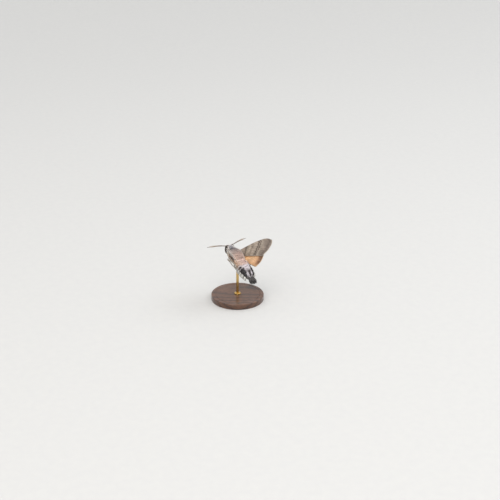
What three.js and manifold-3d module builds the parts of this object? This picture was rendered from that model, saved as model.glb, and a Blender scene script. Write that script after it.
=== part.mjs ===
// A hummingbird hawk moth, life size, hovering with its wings at the top of the upstroke, on a small display stand.
// Millimetres, +Z up. The moth is built level in its own frame, x to its right, y forward and z out of its back,
// with that frame's origin between the wing roots, and is then pitched nose up and raised over the base.
// The part's origin is the centre of the base's underside. The head points to +Y.

import * as THREE from "three";
import { mergeVertices } from "three/addons/utils/BufferGeometryUtils.js";
import Module from "manifold-3d";

const wasm = await Module();
wasm.setup();

const { cos, sin, abs, exp, PI, sign, sqrt, max, min } = Math;

// Driving dimensions
const gap = 0.3; // between pieces that touch
const pitch = THREE.MathUtils.degToRad(24); // nose up
const flightHeight = 24; // of the wing roots over the floor
const wingLift = THREE.MathUtils.degToRad(54.5); // of each wing over the level
const wingRoot = { x: 3, z: 1.5 };

const thoraxForm = {
  centre: 0, height: 0, front: 5.7, rear: 6.2, half: 4.1, up: 3.95, down: 3.95,
  fullness: [2.1, 2.7], sides: 28, rings: 16,
};
const abdomenForm = {
  centre: -9, height: -0.2, front: 7.4, rear: 7.6, half: 3.65, up: 3.4, down: 3.3,
  fullness: [2.3, 2.15], sides: 26, rings: 10,
};
const headForm = {
  centre: 6.7, height: -0.15, front: 2.05, rear: 3.2, half: 2.3, up: 1.95, down: 2,
  fullness: [2.3, 2], sides: 24, rings: 12,
};
const eyeForm = {
  centre: 6.95, height: 0, front: 1.3, rear: 1.3, half: 1.2, up: 1.3, down: 1.3,
  fullness: [2, 2], sides: 18, rings: 10,
};
const eyeOut = 1.5;

const segments = { first: -4.6, last: -16, count: 7, lip: 0.045, fold: 0.22 };

// Locks of scales along the abdomen's sides: each row's place, and its locks' tilts over the level
const sideTufts = {
  rows: [
    { y: -7.6, tilts: [-42, -24], splay: 42 },
    { y: -9.1, tilts: [-34, -14, 6, 24], splay: 38 },
    { y: -10.7, tilts: [-34, -14, 6, 24], splay: 34 },
    { y: -12.3, tilts: [-34, -14, 6, 24], splay: 30 },
    { y: -13.9, tilts: [-34, -14, 6, 24], splay: 26 },
  ],
  sunk: 0.85, length: 2.5, width: 1.35, thickness: 0.62, bend: -0.25,
  vary: { tilt: 3, splay: 4, length: 0.08 },
};

const tail = { root: -15.3, half: 1.75, up: 1.15, ahead: 1.4, length: 5.3, core: 2.4 };
const tailLocks = {
  inset: 0.6, behind: 0.5, width: 1.1, thickness: 0.55, shorter: 0.14, lean: 0.5, bend: 0.3, vary: 1.5,
};
const tailTiers = [
  { locks: 6, lift: 0.62, reach: 0.86, spread: 7, droop: 3 },
  { locks: 7, lift: 0.0, reach: 1, spread: 9, droop: 0 },
  { locks: 6, lift: -0.62, reach: 0.9, spread: 7, droop: -4 },
];

const foreWing = {
  rootY: 0.9, layer: 0.2, sweep: 24, camber: 0.45, droop: 0.35,
  leading: [[-1.6, 0.9], [5, 1.5], [12, 1.75], [17.4, 1.05], [20, -0.7]],
  outer: [[20, -0.7], [19.5, -2.6], [16.9, -5.1], [12.8, -7]],
  trailing: [[-1.6, -1.7], [5.6, -4.2], [12.8, -7]],
  veins: [0.16, 0.3, 0.44, 0.57, 0.7, 0.84], rows: 13,
};
const hindWing = {
  rootY: -2.1, layer: -0.9, sweep: 21, camber: 0.4, droop: 0.2,
  leading: [[-1.8, 1.1], [4, 1.7], [9, 1.1], [11.8, -1.4]],
  outer: [[11.8, -1.4], [11.4, -4], [8.9, -6.9], [5.2, -8.4]],
  trailing: [[-1.8, -2.4], [1.9, -5.2], [5.2, -8.4]],
  veins: [0.2, 0.4, 0.6, 0.8], rows: 10,
};
const membrane = { half: 0.26, edgeHalf: 0.17, ridge: 0.14, ridgeEnd: 0.07, ridgeWidth: 0.024, costaHalf: 0.4 };

const antenna = {
  root: [0.95, 7.07, 1.2], toward: [0.945, 0.31, -0.08], length: 11.62, rise: 0.54,
  arch: { height: 0.62, at: 0.052, wide: 0.056 }, // it leaves the crown and passes over the eye
  base: 0.26, club: 0.43, clubAt: 0.74, tip: 0.45,
  back: [0.35, -0.94, 0], hookFrom: 0.86, hook: 19.8, steps: 21, crowding: 1.3, sides: 9,
};
const palp = {
  x: 1.06, root: [7.1, -1.75], tip: [9.45, -0.35], bow: 0.5, half: 0.56, thick: 0.62,
  slim: 0.35, beyond: 0.3, steps: 8, sides: 12,
};
const proboscis = {
  root: [0, 7.7, -1.2], neck: [0, 9.1, -1.75], coil: [8.35, -3.9], outer: 1.9, inner: 0.34,
  start: 0.36, turns: 1.9, radius: 0.27, taper: 0.3, steps: 46, sides: 8,
};

// Each leg's joints, as how far out, how far along the body, and how far below its skin
const legs = {
  front: {
    hip: [1.0, 3.2], scale: 0.92,
    joints: [[1.7, 4.1, 0.75], [2.4, 4.8, 0.7], [1.75, 2.3, 0.75], [0.75, -0.4, 0.72]],
  },
  mid: {
    hip: [1.5, 0.9], scale: 0.96,
    joints: [[2.6, 1.3, 0.72], [3.5, 1.4, 0.66], [2.75, -2.7, 0.75], [2.35, -6.6, 0.95]],
  },
  hind: {
    hip: [1.3, -2.4], scale: 1,
    joints: [[1.75, -3.2, 0.8], [1.6, -5.2, 1.1], [1.2, -9.2, 0.85], [0.75, -13.6, 0.72]],
  },
};
const legGirth = [[0, 0.46], [0.2, 0.42], [0.42, 0.32], [0.72, 0.27], [1, 0.2]]; // share of length, radius there
const legMesh = { sunk: 1.1, steps: 19, sides: 8 };

const rod = { y: -3.4, radius: 0.7, spare: 3, sides: 16 }; // spare is cut off along the chest
const base = { radius: 14, height: 3, chamfer: 0.6, shoulder: 0.18, foot: 0.2, socket: 1.6, sides: 48 };

// A seeded draw, so that locks vary alike on every run
let drawState = 20260723;
function draw(low, high) {
  drawState = (drawState * 1664525 + 1013904223) % 4294967296;
  return low + ((high - low) * drawState) / 4294967296;
}

// Solids and geometry
function solidFrom(points, faces) {
  const flat = new Float32Array(points.flatMap((p) => [p.x, p.y, p.z]));
  const build = (list) =>
    new wasm.Manifold(new wasm.Mesh({ numProp: 3, vertProperties: flat, triVerts: new Uint32Array(list.flat()) }));
  const made = build(faces);
  return made.volume() < 0 ? build(faces.map(([a, b, c]) => [a, c, b])) : made;
}

function solidOf(geometry) {
  const bare = geometry.clone();
  bare.deleteAttribute("normal");
  bare.deleteAttribute("uv");
  const merged = mergeVertices(bare, 1e-4);
  const position = merged.getAttribute("position");
  const points = [];
  for (let i = 0; i < position.count; i++) points.push(new THREE.Vector3().fromBufferAttribute(position, i));
  const faces = [];
  for (let i = 0; i < merged.index.count; i += 3) {
    faces.push([merged.index.getX(i), merged.index.getX(i + 1), merged.index.getX(i + 2)]);
  }
  return solidFrom(points, faces);
}

function largestOf(made) {
  return made.decompose().sort((a, b) => b.volume() - a.volume())[0];
}

function geometryOf(made) {
  const mesh = made.getMesh();
  const geometry = new THREE.BufferGeometry();
  geometry.setAttribute("position", new THREE.BufferAttribute(new Float32Array(mesh.vertProperties), 3));
  geometry.setIndex(new THREE.BufferAttribute(new Uint32Array(mesh.triVerts), 1));
  geometry.computeVertexNormals();
  return geometry;
}

// Rings of points, closed with a point at each end or with a flat cap
function loft(rings, startPoint, endPoint) {
  const points = rings.flat();
  const sides = rings[0].length;
  const faces = [];
  for (let i = 0; i + 1 < rings.length; i++) {
    for (let j = 0; j < sides; j++) {
      const a = i * sides + j;
      const b = i * sides + ((j + 1) % sides);
      faces.push([a, b, a + sides], [b, b + sides, a + sides]);
    }
  }
  const cap = (first, point, flip) => {
    points.push(point);
    const tip = points.length - 1;
    for (let j = 0; j < sides; j++) {
      const a = first + j;
      const b = first + ((j + 1) % sides);
      faces.push(flip ? [b, a, tip] : [a, b, tip]);
    }
  };
  cap(0, startPoint, true);
  cap((rings.length - 1) * sides, endPoint, false);
  return solidFrom(points, faces);
}

// How full a rounded form is at y, from 0 at its ends to 1 at its middle
function fullnessAt(form, y, grow = 0) {
  const ahead = y >= form.centre;
  const q = abs(y - form.centre) / ((ahead ? form.front : form.rear) + grow);
  return sqrt(max(0, 1 - q ** form.fullness[ahead ? 0 : 1]));
}

function ringAt(form, y, share, grow = 0, x = 0) {
  const ring = [];
  for (let j = 0; j < form.sides; j++) {
    const angle = (2 * PI * j) / form.sides;
    const rise = sin(angle) >= 0 ? form.up : form.down;
    ring.push(new THREE.Vector3(
      x + (form.half + grow) * share * cos(angle), y, form.height + (rise + grow) * share * sin(angle),
    ));
  }
  return ring;
}

// An egg with its own length before and behind its widest place
function egg(form, grow = 0, x = 0) {
  const rings = [];
  for (let i = 1; i < form.rings; i++) {
    const along = cos((PI * i) / form.rings);
    const y = form.centre + along * ((along >= 0 ? form.front : form.rear) + grow);
    rings.push(ringAt(form, y, fullnessAt(form, y, grow), grow, x));
  }
  return loft(
    rings,
    new THREE.Vector3(x, form.centre + form.front + grow, form.height),
    new THREE.Vector3(x, form.centre - form.rear - grow, form.height),
  );
}

// A round tube along points, with its own radius at each
function tube(path, radii, sides) {
  const rings = [];
  let across = new THREE.Vector3(0.31, 0.17, 0.94);
  for (let i = 0; i < path.length; i++) {
    const ahead = path[min(i + 1, path.length - 1)].clone().sub(path[max(i - 1, 0)]).normalize();
    across = across.clone().addScaledVector(ahead, -across.dot(ahead)).normalize();
    const other = ahead.clone().cross(across);
    const ring = [];
    for (let j = 0; j < sides; j++) {
      const angle = (2 * PI * j) / sides;
      const out = across.clone().multiplyScalar(cos(angle)).addScaledVector(other, sin(angle));
      ring.push(path[i].clone().addScaledVector(out, radii[i]));
    }
    rings.push(ring);
  }
  const before = path[0].clone().sub(path[1]).setLength(radii[0] * 0.6).add(path[0]);
  const last = path[path.length - 1];
  const after = last.clone().sub(path[path.length - 2]).setLength(radii[path.length - 1] * 0.8).add(last);
  return loft(rings, before, after);
}

// A flat, tapered lock of scales: six-sided, widest a third of the way along, bent towards its own face
function lock({ root, toward, face, length, width, thickness, bend = 0 }) {
  const along = toward.clone().normalize();
  const up = face.clone().addScaledVector(along, -face.dot(along)).normalize();
  const side = along.clone().cross(up);
  const stations = [[0, 0.7, 1], [0.35, 1, 1], [0.68, 0.82, 0.95], [0.9, 0.45, 0.7]];
  const spine = (t) => root.clone().addScaledVector(along, length * t).addScaledVector(up, bend * t * t);
  const rings = stations.map(([t, wide, thick]) => {
    const w = (width / 2) * wide;
    const h = (thickness / 2) * thick;
    const corners = [[w, 0], [w / 2, h], [-w / 2, h], [-w, 0], [-w / 2, -h], [w / 2, -h]];
    return corners.map(([a, b]) => spine(t).addScaledVector(side, a).addScaledVector(up, b));
  });
  return loft(rings, spine(0), spine(1));
}

// The skin of the trunk, from below
function undersideAt(x, y) {
  return min(...[thoraxForm, abdomenForm].map((form) => {
    const share = fullnessAt(form, y);
    const out = share > 0 ? x / (form.half * share) : 2;
    return abs(out) < 1 ? form.height - form.down * share * sqrt(1 - out * out) : form.height;
  }));
}

// Trunk
const thoraxGrown = egg(thoraxForm, gap);
const headGrown = egg(headForm, gap);

function thoraxSolid() {
  return egg(thoraxForm);
}

function abdomenSkin(grow) {
  const step = (segments.last - segments.first) / segments.count;
  const rings = [];
  for (let i = 0; i < segments.count; i++) {
    const front = segments.first + step * i;
    const rear = front + step * (1 - segments.fold);
    for (const [y, lip] of [[front, 1], [(front + rear) / 2, 1 + segments.lip * 0.7], [rear, 1 + segments.lip]]) {
      rings.push(ringAt(abdomenForm, y, fullnessAt(abdomenForm, y, grow) * lip, grow));
    }
  }
  const { centre, height, front, rear } = abdomenForm;
  return loft(
    rings,
    new THREE.Vector3(0, centre + front + grow, height),
    new THREE.Vector3(0, centre - rear - grow, height),
  );
}
const abdomenGrown = abdomenSkin(gap);

function abdomenSolid() {
  const { vary } = sideTufts;
  let made = abdomenSkin(0);
  for (const row of sideTufts.rows) {
    const share = fullnessAt(abdomenForm, row.y);
    for (const side of [-1, 1]) {
      for (const tilt of row.tilts) {
        const angle = THREE.MathUtils.degToRad(tilt + draw(-vary.tilt, vary.tilt));
        const splay = THREE.MathUtils.degToRad(row.splay + draw(-vary.splay, vary.splay));
        const out = new THREE.Vector3(side * cos(angle), 0, sin(angle));
        const root = new THREE.Vector3(
          side * (abdomenForm.half - sideTufts.sunk) * share * cos(angle), row.y,
          abdomenForm.height + (abdomenForm.up - sideTufts.sunk) * share * sin(angle),
        );
        made = made.add(lock({
          root, face: out, toward: out.clone().multiplyScalar(sin(splay)).add(new THREE.Vector3(0, -cos(splay), 0)),
          length: sideTufts.length * draw(1 - vary.length, 1 + vary.length),
          width: sideTufts.width, thickness: sideTufts.thickness, bend: sideTufts.bend,
        }));
      }
    }
  }
  return largestOf(made.subtract(thoraxGrown));
}

function tailSolid() {
  const locks = tailLocks;
  const core = {
    centre: tail.root, height: abdomenForm.height, front: tail.ahead, rear: tail.core,
    half: tail.half, up: tail.up, down: tail.up, fullness: [2, 2], sides: 16, rings: 8,
  };
  let made = egg(core);
  for (const tier of tailTiers) {
    for (let i = 0; i < tier.locks; i++) {
      const across = (2 * i) / (tier.locks - 1) - 1;
      const turn = THREE.MathUtils.degToRad(tier.spread * across + draw(-locks.vary, locks.vary));
      const droop = THREE.MathUtils.degToRad(tier.droop);
      const height = abdomenForm.height + tier.lift * sqrt(1 - across * across / 2);
      made = made.add(lock({
        root: new THREE.Vector3(across * (tail.half - locks.inset), tail.root - locks.behind, height),
        toward: new THREE.Vector3(sin(turn), -cos(turn), sin(droop)),
        face: new THREE.Vector3(locks.lean * across * sign(tier.lift), 0, 1),
        length: (tail.length - locks.behind) * tier.reach * (1 - locks.shorter * across * across) * draw(0.95, 1.05),
        width: locks.width, thickness: locks.thickness, bend: tier.lift * locks.bend,
      }));
    }
  }
  return largestOf(made.subtract(abdomenGrown));
}

// Head
function headSolid() {
  const sockets = egg(eyeForm, gap, eyeOut).add(egg(eyeForm, gap, -eyeOut));
  return largestOf(egg(headForm).subtract(sockets).subtract(thoraxGrown));
}

function eyeSolid(side) {
  return egg(eyeForm, 0, side * eyeOut).subtract(thoraxGrown);
}

function palpSolid(side) {
  const rings = [];
  const from = new THREE.Vector3(side * palp.x, ...palp.root);
  const to = new THREE.Vector3(side * palp.x, ...palp.tip);
  const along = to.clone().sub(from).normalize();
  const up = new THREE.Vector3(0, -along.z, along.y);
  for (let i = 0; i <= palp.steps; i++) {
    const t = i / palp.steps;
    const centre = from.clone().lerp(to, t).addScaledVector(up, -palp.bow * sin(PI * t));
    const full = palp.slim + (1 - palp.slim) * sin(PI * (0.18 + t * 0.72)) ** 0.8; // fullest just before its middle
    const ring = [];
    for (let j = 0; j < palp.sides; j++) {
      const angle = (2 * PI * j) / palp.sides;
      const out = new THREE.Vector3(palp.half * full * cos(angle), 0, 0);
      ring.push(centre.clone().add(out).addScaledVector(up, palp.thick * full * sin(angle)));
    }
    rings.push(ring);
  }
  return largestOf(loft(rings, from, to.clone().addScaledVector(along, palp.beyond)).subtract(headGrown));
}

function proboscisSolid() {
  const { coil, outer, inner, start, turns, radius, taper, steps, sides } = proboscis;
  const path = [new THREE.Vector3(...proboscis.root), new THREE.Vector3(...proboscis.neck)];
  for (let i = 0; i <= steps; i++) {
    const t = i / steps;
    const angle = PI * start - 2 * PI * turns * t;
    const reach = outer + (inner - outer) * t;
    path.push(new THREE.Vector3(0, coil[0] + reach * cos(angle), coil[1] + reach * sin(angle)));
  }
  const radii = path.map((_, i) => radius * (1 - (taper * i) / path.length));
  return largestOf(tube(path, radii, sides).subtract(headGrown));
}

function antennaSolid(side) {
  const { base: slim, club, clubAt, tip, hookFrom, hook, rise, arch, steps } = antenna;
  const toward = new THREE.Vector3(...antenna.toward).normalize();
  const back = new THREE.Vector3(...antenna.back).normalize();
  const path = [];
  const radii = [];
  for (let i = 0; i <= steps; i++) {
    const t = (i / steps) ** antenna.crowding; // closer steps where it arches
    const point = new THREE.Vector3(...antenna.root).addScaledVector(toward, antenna.length * t);
    point.z += rise * sin(PI * min(1, t * 1.1)) + arch.height * exp(-(((t - arch.at) / arch.wide) ** 2));
    point.addScaledVector(back, hook * max(0, t - hookFrom) ** 2);
    point.x *= side;
    path.push(point);
    const toClub = t < clubAt ? t / clubAt : 1 - ((t - clubAt) / (1 - clubAt)) ** 2;
    radii.push(slim * (t < clubAt ? 1 : max(tip, toClub)) + (club - slim) * toClub ** 2);
  }
  return largestOf(tube(path, radii, antenna.sides).subtract(headGrown));
}

// Wings
function wingFrame(side, wing) {
  const out = new THREE.Vector3(side * cos(wingLift), 0, sin(wingLift));
  const forward = new THREE.Vector3(0, 1, 0);
  const face = new THREE.Vector3(-side * sin(wingLift), 0, cos(wingLift));
  const sweep = THREE.MathUtils.degToRad(wing.sweep);
  const root = new THREE.Vector3(side * wingRoot.x, wing.rootY, wingRoot.z);
  return (s, t, lift) =>
    root.clone()
      .addScaledVector(out, s * cos(sweep) + t * sin(sweep))
      .addScaledVector(forward, t * cos(sweep) - s * sin(sweep))
      .addScaledVector(face, lift);
}

function wingSolid(side, wing) {
  const curve = (list) => new THREE.CatmullRomCurve3(list.map(([s, t]) => new THREE.Vector3(s, t, 0)));
  const leading = curve(wing.leading);
  const outer = curve(wing.outer);
  const trailing = curve(wing.trailing);
  const rootLine = curve([wing.leading[0], wing.trailing[0]]);
  const [apex, tornus] = [leading.getPoint(1), trailing.getPoint(1)];
  // A patch between the four edges: u from the leading edge back, v from the root out
  const patch = (u, v) =>
    leading.getPointAt(v).multiplyScalar(1 - u)
      .addScaledVector(trailing.getPointAt(v), u)
      .addScaledVector(rootLine.getPointAt(u), 1 - v)
      .addScaledVector(outer.getPointAt(u), v)
      .addScaledVector(rootLine.getPoint(0), -(1 - u) * (1 - v))
      .addScaledVector(rootLine.getPoint(1), -u * (1 - v))
      .addScaledVector(apex, -(1 - u) * v)
      .addScaledVector(tornus, -u * v);
  const w = membrane.ridgeWidth;
  const columns = [0, 0.055, ...wing.veins.flatMap((u) => [u - w, u, u + w]), 1].map((u) => ({
    u, vein: u === 0 || wing.veins.includes(u), edge: u === 0 || u === 1, lead: u === 0,
  }));
  const place = wingFrame(side, wing);
  const span = apex.x;
  const upper = [];
  const lower = [];
  for (let i = 0; i <= wing.rows; i++) {
    const v = i / wing.rows;
    for (const { u, vein, edge, lead } of columns) {
      const flat = patch(u, v);
      const out = max(0, flat.x / span);
      const lift = wing.layer + wing.camber * sin(PI * u) * sin(PI * min(1, v * 0.9)) - wing.droop * out * out;
      let half = i === wing.rows || edge ? membrane.edgeHalf : membrane.half;
      if (lead) half = membrane.costaHalf + (membrane.edgeHalf - membrane.costaHalf) * v;
      else if (vein) half += membrane.ridge + (membrane.ridgeEnd - membrane.ridge) * v;
      upper.push(place(flat.x, flat.y, lift + half));
      lower.push(place(flat.x, flat.y, lift - half));
    }
  }
  const wide = columns.length;
  const total = upper.length;
  const faces = [];
  const wall = (a, b) => faces.push([a, b, a + total], [b, b + total, a + total]);
  for (let i = 0; i < wing.rows; i++) {
    for (let j = 0; j + 1 < wide; j++) {
      const a = i * wide + j;
      const [b, c, d] = [a + 1, a + wide, a + wide + 1];
      faces.push([a, b, c], [b, d, c], [a + total, c + total, b + total], [b + total, c + total, d + total]);
    }
  }
  for (let j = 0; j + 1 < wide; j++) {
    wall(j + 1, j);
    wall(wing.rows * wide + j, wing.rows * wide + j + 1);
  }
  for (let i = 0; i < wing.rows; i++) {
    wall(i * wide, (i + 1) * wide);
    wall((i + 1) * wide + wide - 1, i * wide + wide - 1);
  }
  return largestOf(solidFrom([...upper, ...lower], faces).subtract(thoraxGrown).subtract(abdomenGrown));
}

// Legs, folded against the body in flight
function legSolid(side, leg) {
  const [hipX, hipY] = leg.hip;
  const hipTop = new THREE.Vector3(hipX, hipY, undersideAt(hipX, hipY) + legMesh.sunk);
  const joints = [hipTop, ...leg.joints.map(([x, y, below]) => new THREE.Vector3(x, y, undersideAt(x, y) - below))];
  const curve = new THREE.CatmullRomCurve3(joints, false, "centripetal");
  const path = [];
  const radii = [];
  for (let i = 0; i <= legMesh.steps; i++) {
    const t = i / legMesh.steps;
    const point = curve.getPointAt(t);
    point.x *= side;
    path.push(point);
    const k = max(1, legGirth.findIndex(([share]) => share >= t));
    const [[from, before], [to, after]] = [legGirth[k - 1], legGirth[k]];
    radii.push(leg.scale * THREE.MathUtils.mapLinear(t, from, to, before, after));
  }
  return largestOf(tube(path, radii, legMesh.sides).subtract(thoraxGrown).subtract(abdomenGrown));
}

// Stand: a round base and one rod up to the chest
const standFrame = new THREE.Matrix4().makeRotationX(-pitch);

function standParts() {
  const rise = sin(pitch);
  const run = cos(pitch);
  const chest = undersideAt(0, rod.y);
  const rodY = rod.y * run - chest * rise; // in the part's frame, under the place on the chest that it holds
  const top = flightHeight + rod.y * rise + chest * run;
  const { radius, height, chamfer, shoulder, socket, sides } = base;
  const hole = rod.radius + gap;
  const profile = [
    [0, height - socket], [hole, height - socket], [hole, height], [radius - chamfer, height],
    [radius - shoulder, height - shoulder], [radius, height - chamfer],
    [radius, base.foot], [radius - base.foot, 0], [0, 0],
  ].map(([x, y]) => new THREE.Vector2(x, y));
  const foot = new THREE.LatheGeometry(profile, sides).rotateX(PI / 2);
  const low = height - socket + gap;
  const high = top + rod.spare;
  const bar = new THREE.CylinderGeometry(rod.radius, rod.radius, high - low, rod.sides);
  bar.rotateX(PI / 2).translate(0, 0, (low + high) / 2);
  // The rod is cut in the moth's own frame, where the chest is known
  const toMoth = new THREE.Matrix4().makeTranslation(0, rodY, -flightHeight).premultiply(standFrame);
  bar.applyMatrix4(toMoth);
  const lengths = solidOf(bar).subtract(thoraxGrown).subtract(abdomenGrown).decompose();
  const cut = geometryOf(lengths.sort((a, b) => a.boundingBox().min[2] - b.boundingBox().min[2])[0]);
  cut.applyMatrix4(toMoth.invert());
  return { foot: geometryOf(solidOf(foot)), bar: cut, rodY };
}

// Finishes
const finish = (color, roughness, metalness = 0) => new THREE.MeshStandardMaterial({ color, roughness, metalness });
const looks = {
  thorax: finish("#9a8878", 0.9),
  abdomen: finish("#8f8074", 0.9),
  tail: finish("#3b3633", 0.9),
  eye: finish("#241a14", 0.25),
  palp: finish("#dcd8cf", 0.9),
  horn: finish("#3a2c22", 0.5),
  foreWing: finish("#7f7062", 0.8),
  hindWing: finish("#d08a4a", 0.8),
  leg: finish("#b9aea0", 0.8),
  wood: finish("#3a2418", 0.35),
  brass: finish("#b79a5a", 0.3, 1),
};

function node(name, geometry, material) {
  const mesh = new THREE.Mesh(geometry, material);
  mesh.name = name;
  return mesh;
}

// Assembly
const { foot, bar, rodY } = standParts();
const moth = new THREE.Group();
moth.rotation.x = pitch;
moth.position.set(0, -rodY, flightHeight);
moth.add(
  node("thorax", geometryOf(thoraxSolid()), looks.thorax),
  node("abdomen", geometryOf(abdomenSolid()), looks.abdomen),
  node("tail_fan", geometryOf(tailSolid()), looks.tail),
  node("head", geometryOf(headSolid()), looks.thorax),
  node("proboscis", geometryOf(proboscisSolid()), looks.horn),
);
for (const [name, side] of [["left", -1], ["right", 1]]) {
  moth.add(
    node(`eye_${name}`, geometryOf(eyeSolid(side)), looks.eye),
    node(`palp_${name}`, geometryOf(palpSolid(side)), looks.palp),
    node(`antenna_${name}`, geometryOf(antennaSolid(side)), looks.horn),
    node(`forewing_${name}`, geometryOf(wingSolid(side, foreWing)), looks.foreWing),
    node(`hindwing_${name}`, geometryOf(wingSolid(side, hindWing)), looks.hindWing),
  );
  for (const [place, leg] of Object.entries(legs)) {
    moth.add(node(`leg_${place}_${name}`, geometryOf(legSolid(side, leg)), looks.leg));
  }
}

const part = new THREE.Group();
part.add(moth, node("stand_base", foot, looks.wood), node("stand_rod", bar, looks.brass));

export default part;
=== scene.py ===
import functools
import itertools
import math

import bpy
import numpy as np
from mathutils import Matrix, Vector


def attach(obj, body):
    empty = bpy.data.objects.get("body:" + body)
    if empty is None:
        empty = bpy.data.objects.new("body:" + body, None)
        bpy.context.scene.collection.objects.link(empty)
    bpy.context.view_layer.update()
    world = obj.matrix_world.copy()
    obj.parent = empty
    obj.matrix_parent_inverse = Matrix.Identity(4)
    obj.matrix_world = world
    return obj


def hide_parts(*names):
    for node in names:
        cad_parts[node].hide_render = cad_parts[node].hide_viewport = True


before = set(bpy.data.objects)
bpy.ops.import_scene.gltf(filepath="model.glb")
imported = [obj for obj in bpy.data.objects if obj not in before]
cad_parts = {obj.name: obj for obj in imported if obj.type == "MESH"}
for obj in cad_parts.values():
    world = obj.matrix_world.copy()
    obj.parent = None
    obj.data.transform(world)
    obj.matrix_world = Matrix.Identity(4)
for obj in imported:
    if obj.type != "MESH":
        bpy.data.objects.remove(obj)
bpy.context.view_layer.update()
bpy.ops.object.select_all(action="DESELECT")
print("solids loaded:", len(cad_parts))

# The moth is modelled in its own frame, in millimetres: x to its right, y forward, z out of its back.
# It is then pitched nose up and carried over the base, and made metres, in one step.
mothPose = {"pitch": 24, "forward": 1.666, "height": 24}
standToRow = Matrix.Scale(0.001, 4)
mothToRow = (
    standToRow
    @ Matrix.Translation((0, mothPose["forward"], mothPose["height"]))
    @ Matrix.Rotation(math.radians(mothPose["pitch"]), 4, "X")
)
bothSides = (("left", -1), ("right", 1))  # with the sign of x there
dice = np.random.default_rng(71)  # every random draw comes from this seed


# Meshes and pieces

def smoothStep(low, high, value):
    share = np.clip((value - low) / (high - low), 0, 1)
    return share * share * (3 - 2 * share)


def bell(value, wide):
    return np.exp(-((value / wide) ** 2))


def unit(vectors):
    return vectors / np.maximum(np.linalg.norm(vectors, axis=-1, keepdims=True), 1e-9)


def meshPiece(name, points, faces):
    mesh = bpy.data.meshes.new(name)
    mesh.from_pydata(points.tolist(), [], faces)
    mesh.update()
    mesh.polygons.foreach_set("use_smooth", [True] * len(mesh.polygons))
    piece = bpy.data.objects.new(name, mesh)
    bpy.context.collection.objects.link(piece)
    return piece


def readVectors(source, key):
    flat = np.empty(len(source) * 3)
    source.foreach_get(key, flat)
    return flat.reshape(-1, 3)


def setAttribute(piece, name, values, kind="FLOAT"):
    made = piece.data.attributes.new(name, kind, "POINT")
    made.data.foreach_set("vector" if kind == "FLOAT_VECTOR" else "value", np.asarray(values, float).ravel())


def setUv(piece, name, perPoint):
    corners = np.empty(len(piece.data.loops), int)
    piece.data.loops.foreach_get("vertex_index", corners)
    piece.data.uv_layers.new(name=name).data.foreach_set("uv", perPoint[corners].ravel())


def settle(piece, materials, nodes=(), toRow=mothToRow):
    # Carries a finished mesh to its place and hands it to the frame
    piece.data.transform(toRow)
    for material in materials:
        piece.data.materials.append(material)
    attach(piece, "root")
    if nodes:
        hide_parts(*nodes)


def pickParts(piece, kind, test):
    # Leaves only the wanted points, edges or faces selected, in edit mode
    bpy.ops.object.mode_set(mode="EDIT")
    bpy.ops.mesh.select_mode(type=kind)
    bpy.ops.mesh.select_all(action="DESELECT")
    bpy.ops.object.mode_set(mode="OBJECT")
    mesh = piece.data
    for part in {"VERT": mesh.vertices, "EDGE": mesh.edges, "FACE": mesh.polygons}[kind]:
        part.select = test(part)
    bpy.ops.object.mode_set(mode="EDIT")


def smoothCurve(points, count, grain=60):
    # Evenly spaced places on the centripetal curve through the points
    points = np.asarray(points, float)
    ends = [2 * points[0] - points[1], *points, 2 * points[-1] - points[-2]]
    t = np.linspace(0, 1, grain, endpoint=False)[:, None]
    fine = []
    for a, b, c, d in zip(ends, ends[1:], ends[2:], ends[3:]):
        ab, bc, cd = (max(np.linalg.norm(q - p), 1e-6) ** 0.5 for p, q in ((a, b), (b, c), (c, d)))
        start = ((b - a) / ab - (c - a) / (ab + bc) + (c - b) / bc) * bc
        finish = ((c - b) / bc - (d - b) / (bc + cd) + (d - c) / cd) * bc
        bent = (-3 * b + 3 * c - 2 * start - finish) * t**2 + (2 * b - 2 * c + start + finish) * t**3
        fine.append(b + start * t + bent)
    fine = np.vstack([*fine, points[-1:]])
    lengths = np.concatenate([[0], np.cumsum(np.linalg.norm(np.diff(fine, axis=0), axis=1))])
    wanted = np.linspace(0, lengths[-1], count)
    return np.stack([np.interp(wanted, lengths, fine[:, k]) for k in range(points.shape[1])], 1)


tubeEnds = {"root": 0.5, "tip": 0.7}  # how far each end bulges, in radii


def tubeMesh(name, path, radii, sides):
    # A closed round tube along the path, with its own radius at each place
    ahead = unit(np.gradient(path, axis=0))
    turns = np.linspace(0, 2 * math.pi, sides, endpoint=False)[:, None]
    across = np.array([0.31, 0.17, 0.94])  # any way in which no tube starts
    rings = []
    for point, way, radius in zip(path, ahead, radii):
        across = unit(across - way * (across @ way))
        rings.append(point + radius * (np.cos(turns) * across + np.sin(turns) * np.cross(way, across)))
    ends = [path[0] - ahead[0] * radii[0] * tubeEnds["root"], path[-1] + ahead[-1] * radii[-1] * tubeEnds["tip"]]
    points = np.vstack([*rings, ends])
    last = (len(path) - 1) * sides
    faces = []
    for j in range(sides):
        k = (j + 1) % sides
        faces += [(i + j, i + k, i + k + sides, i + j + sides) for i in range(0, last, sides)]
        faces += [(k, j, len(points) - 2), (last + j, last + k, len(points) - 1)]
    piece = meshPiece(name, points, faces)
    around, along = np.meshgrid(np.linspace(0, 1, sides, endpoint=False), np.linspace(0, 1, len(path)))
    setUv(piece, "tubeMap", np.vstack([np.stack([around.ravel(), along.ravel()], 1), [[0, 0], [0, 1]]]))
    return piece


# Materials

def toLinear(code):
    parts = [int(code[i:i + 2], 16) / 255 for i in (1, 3, 5)]
    return [c / 12.92 if c <= 0.04045 else ((c + 0.055) / 1.055) ** 2.4 for c in parts] + [1]


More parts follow.
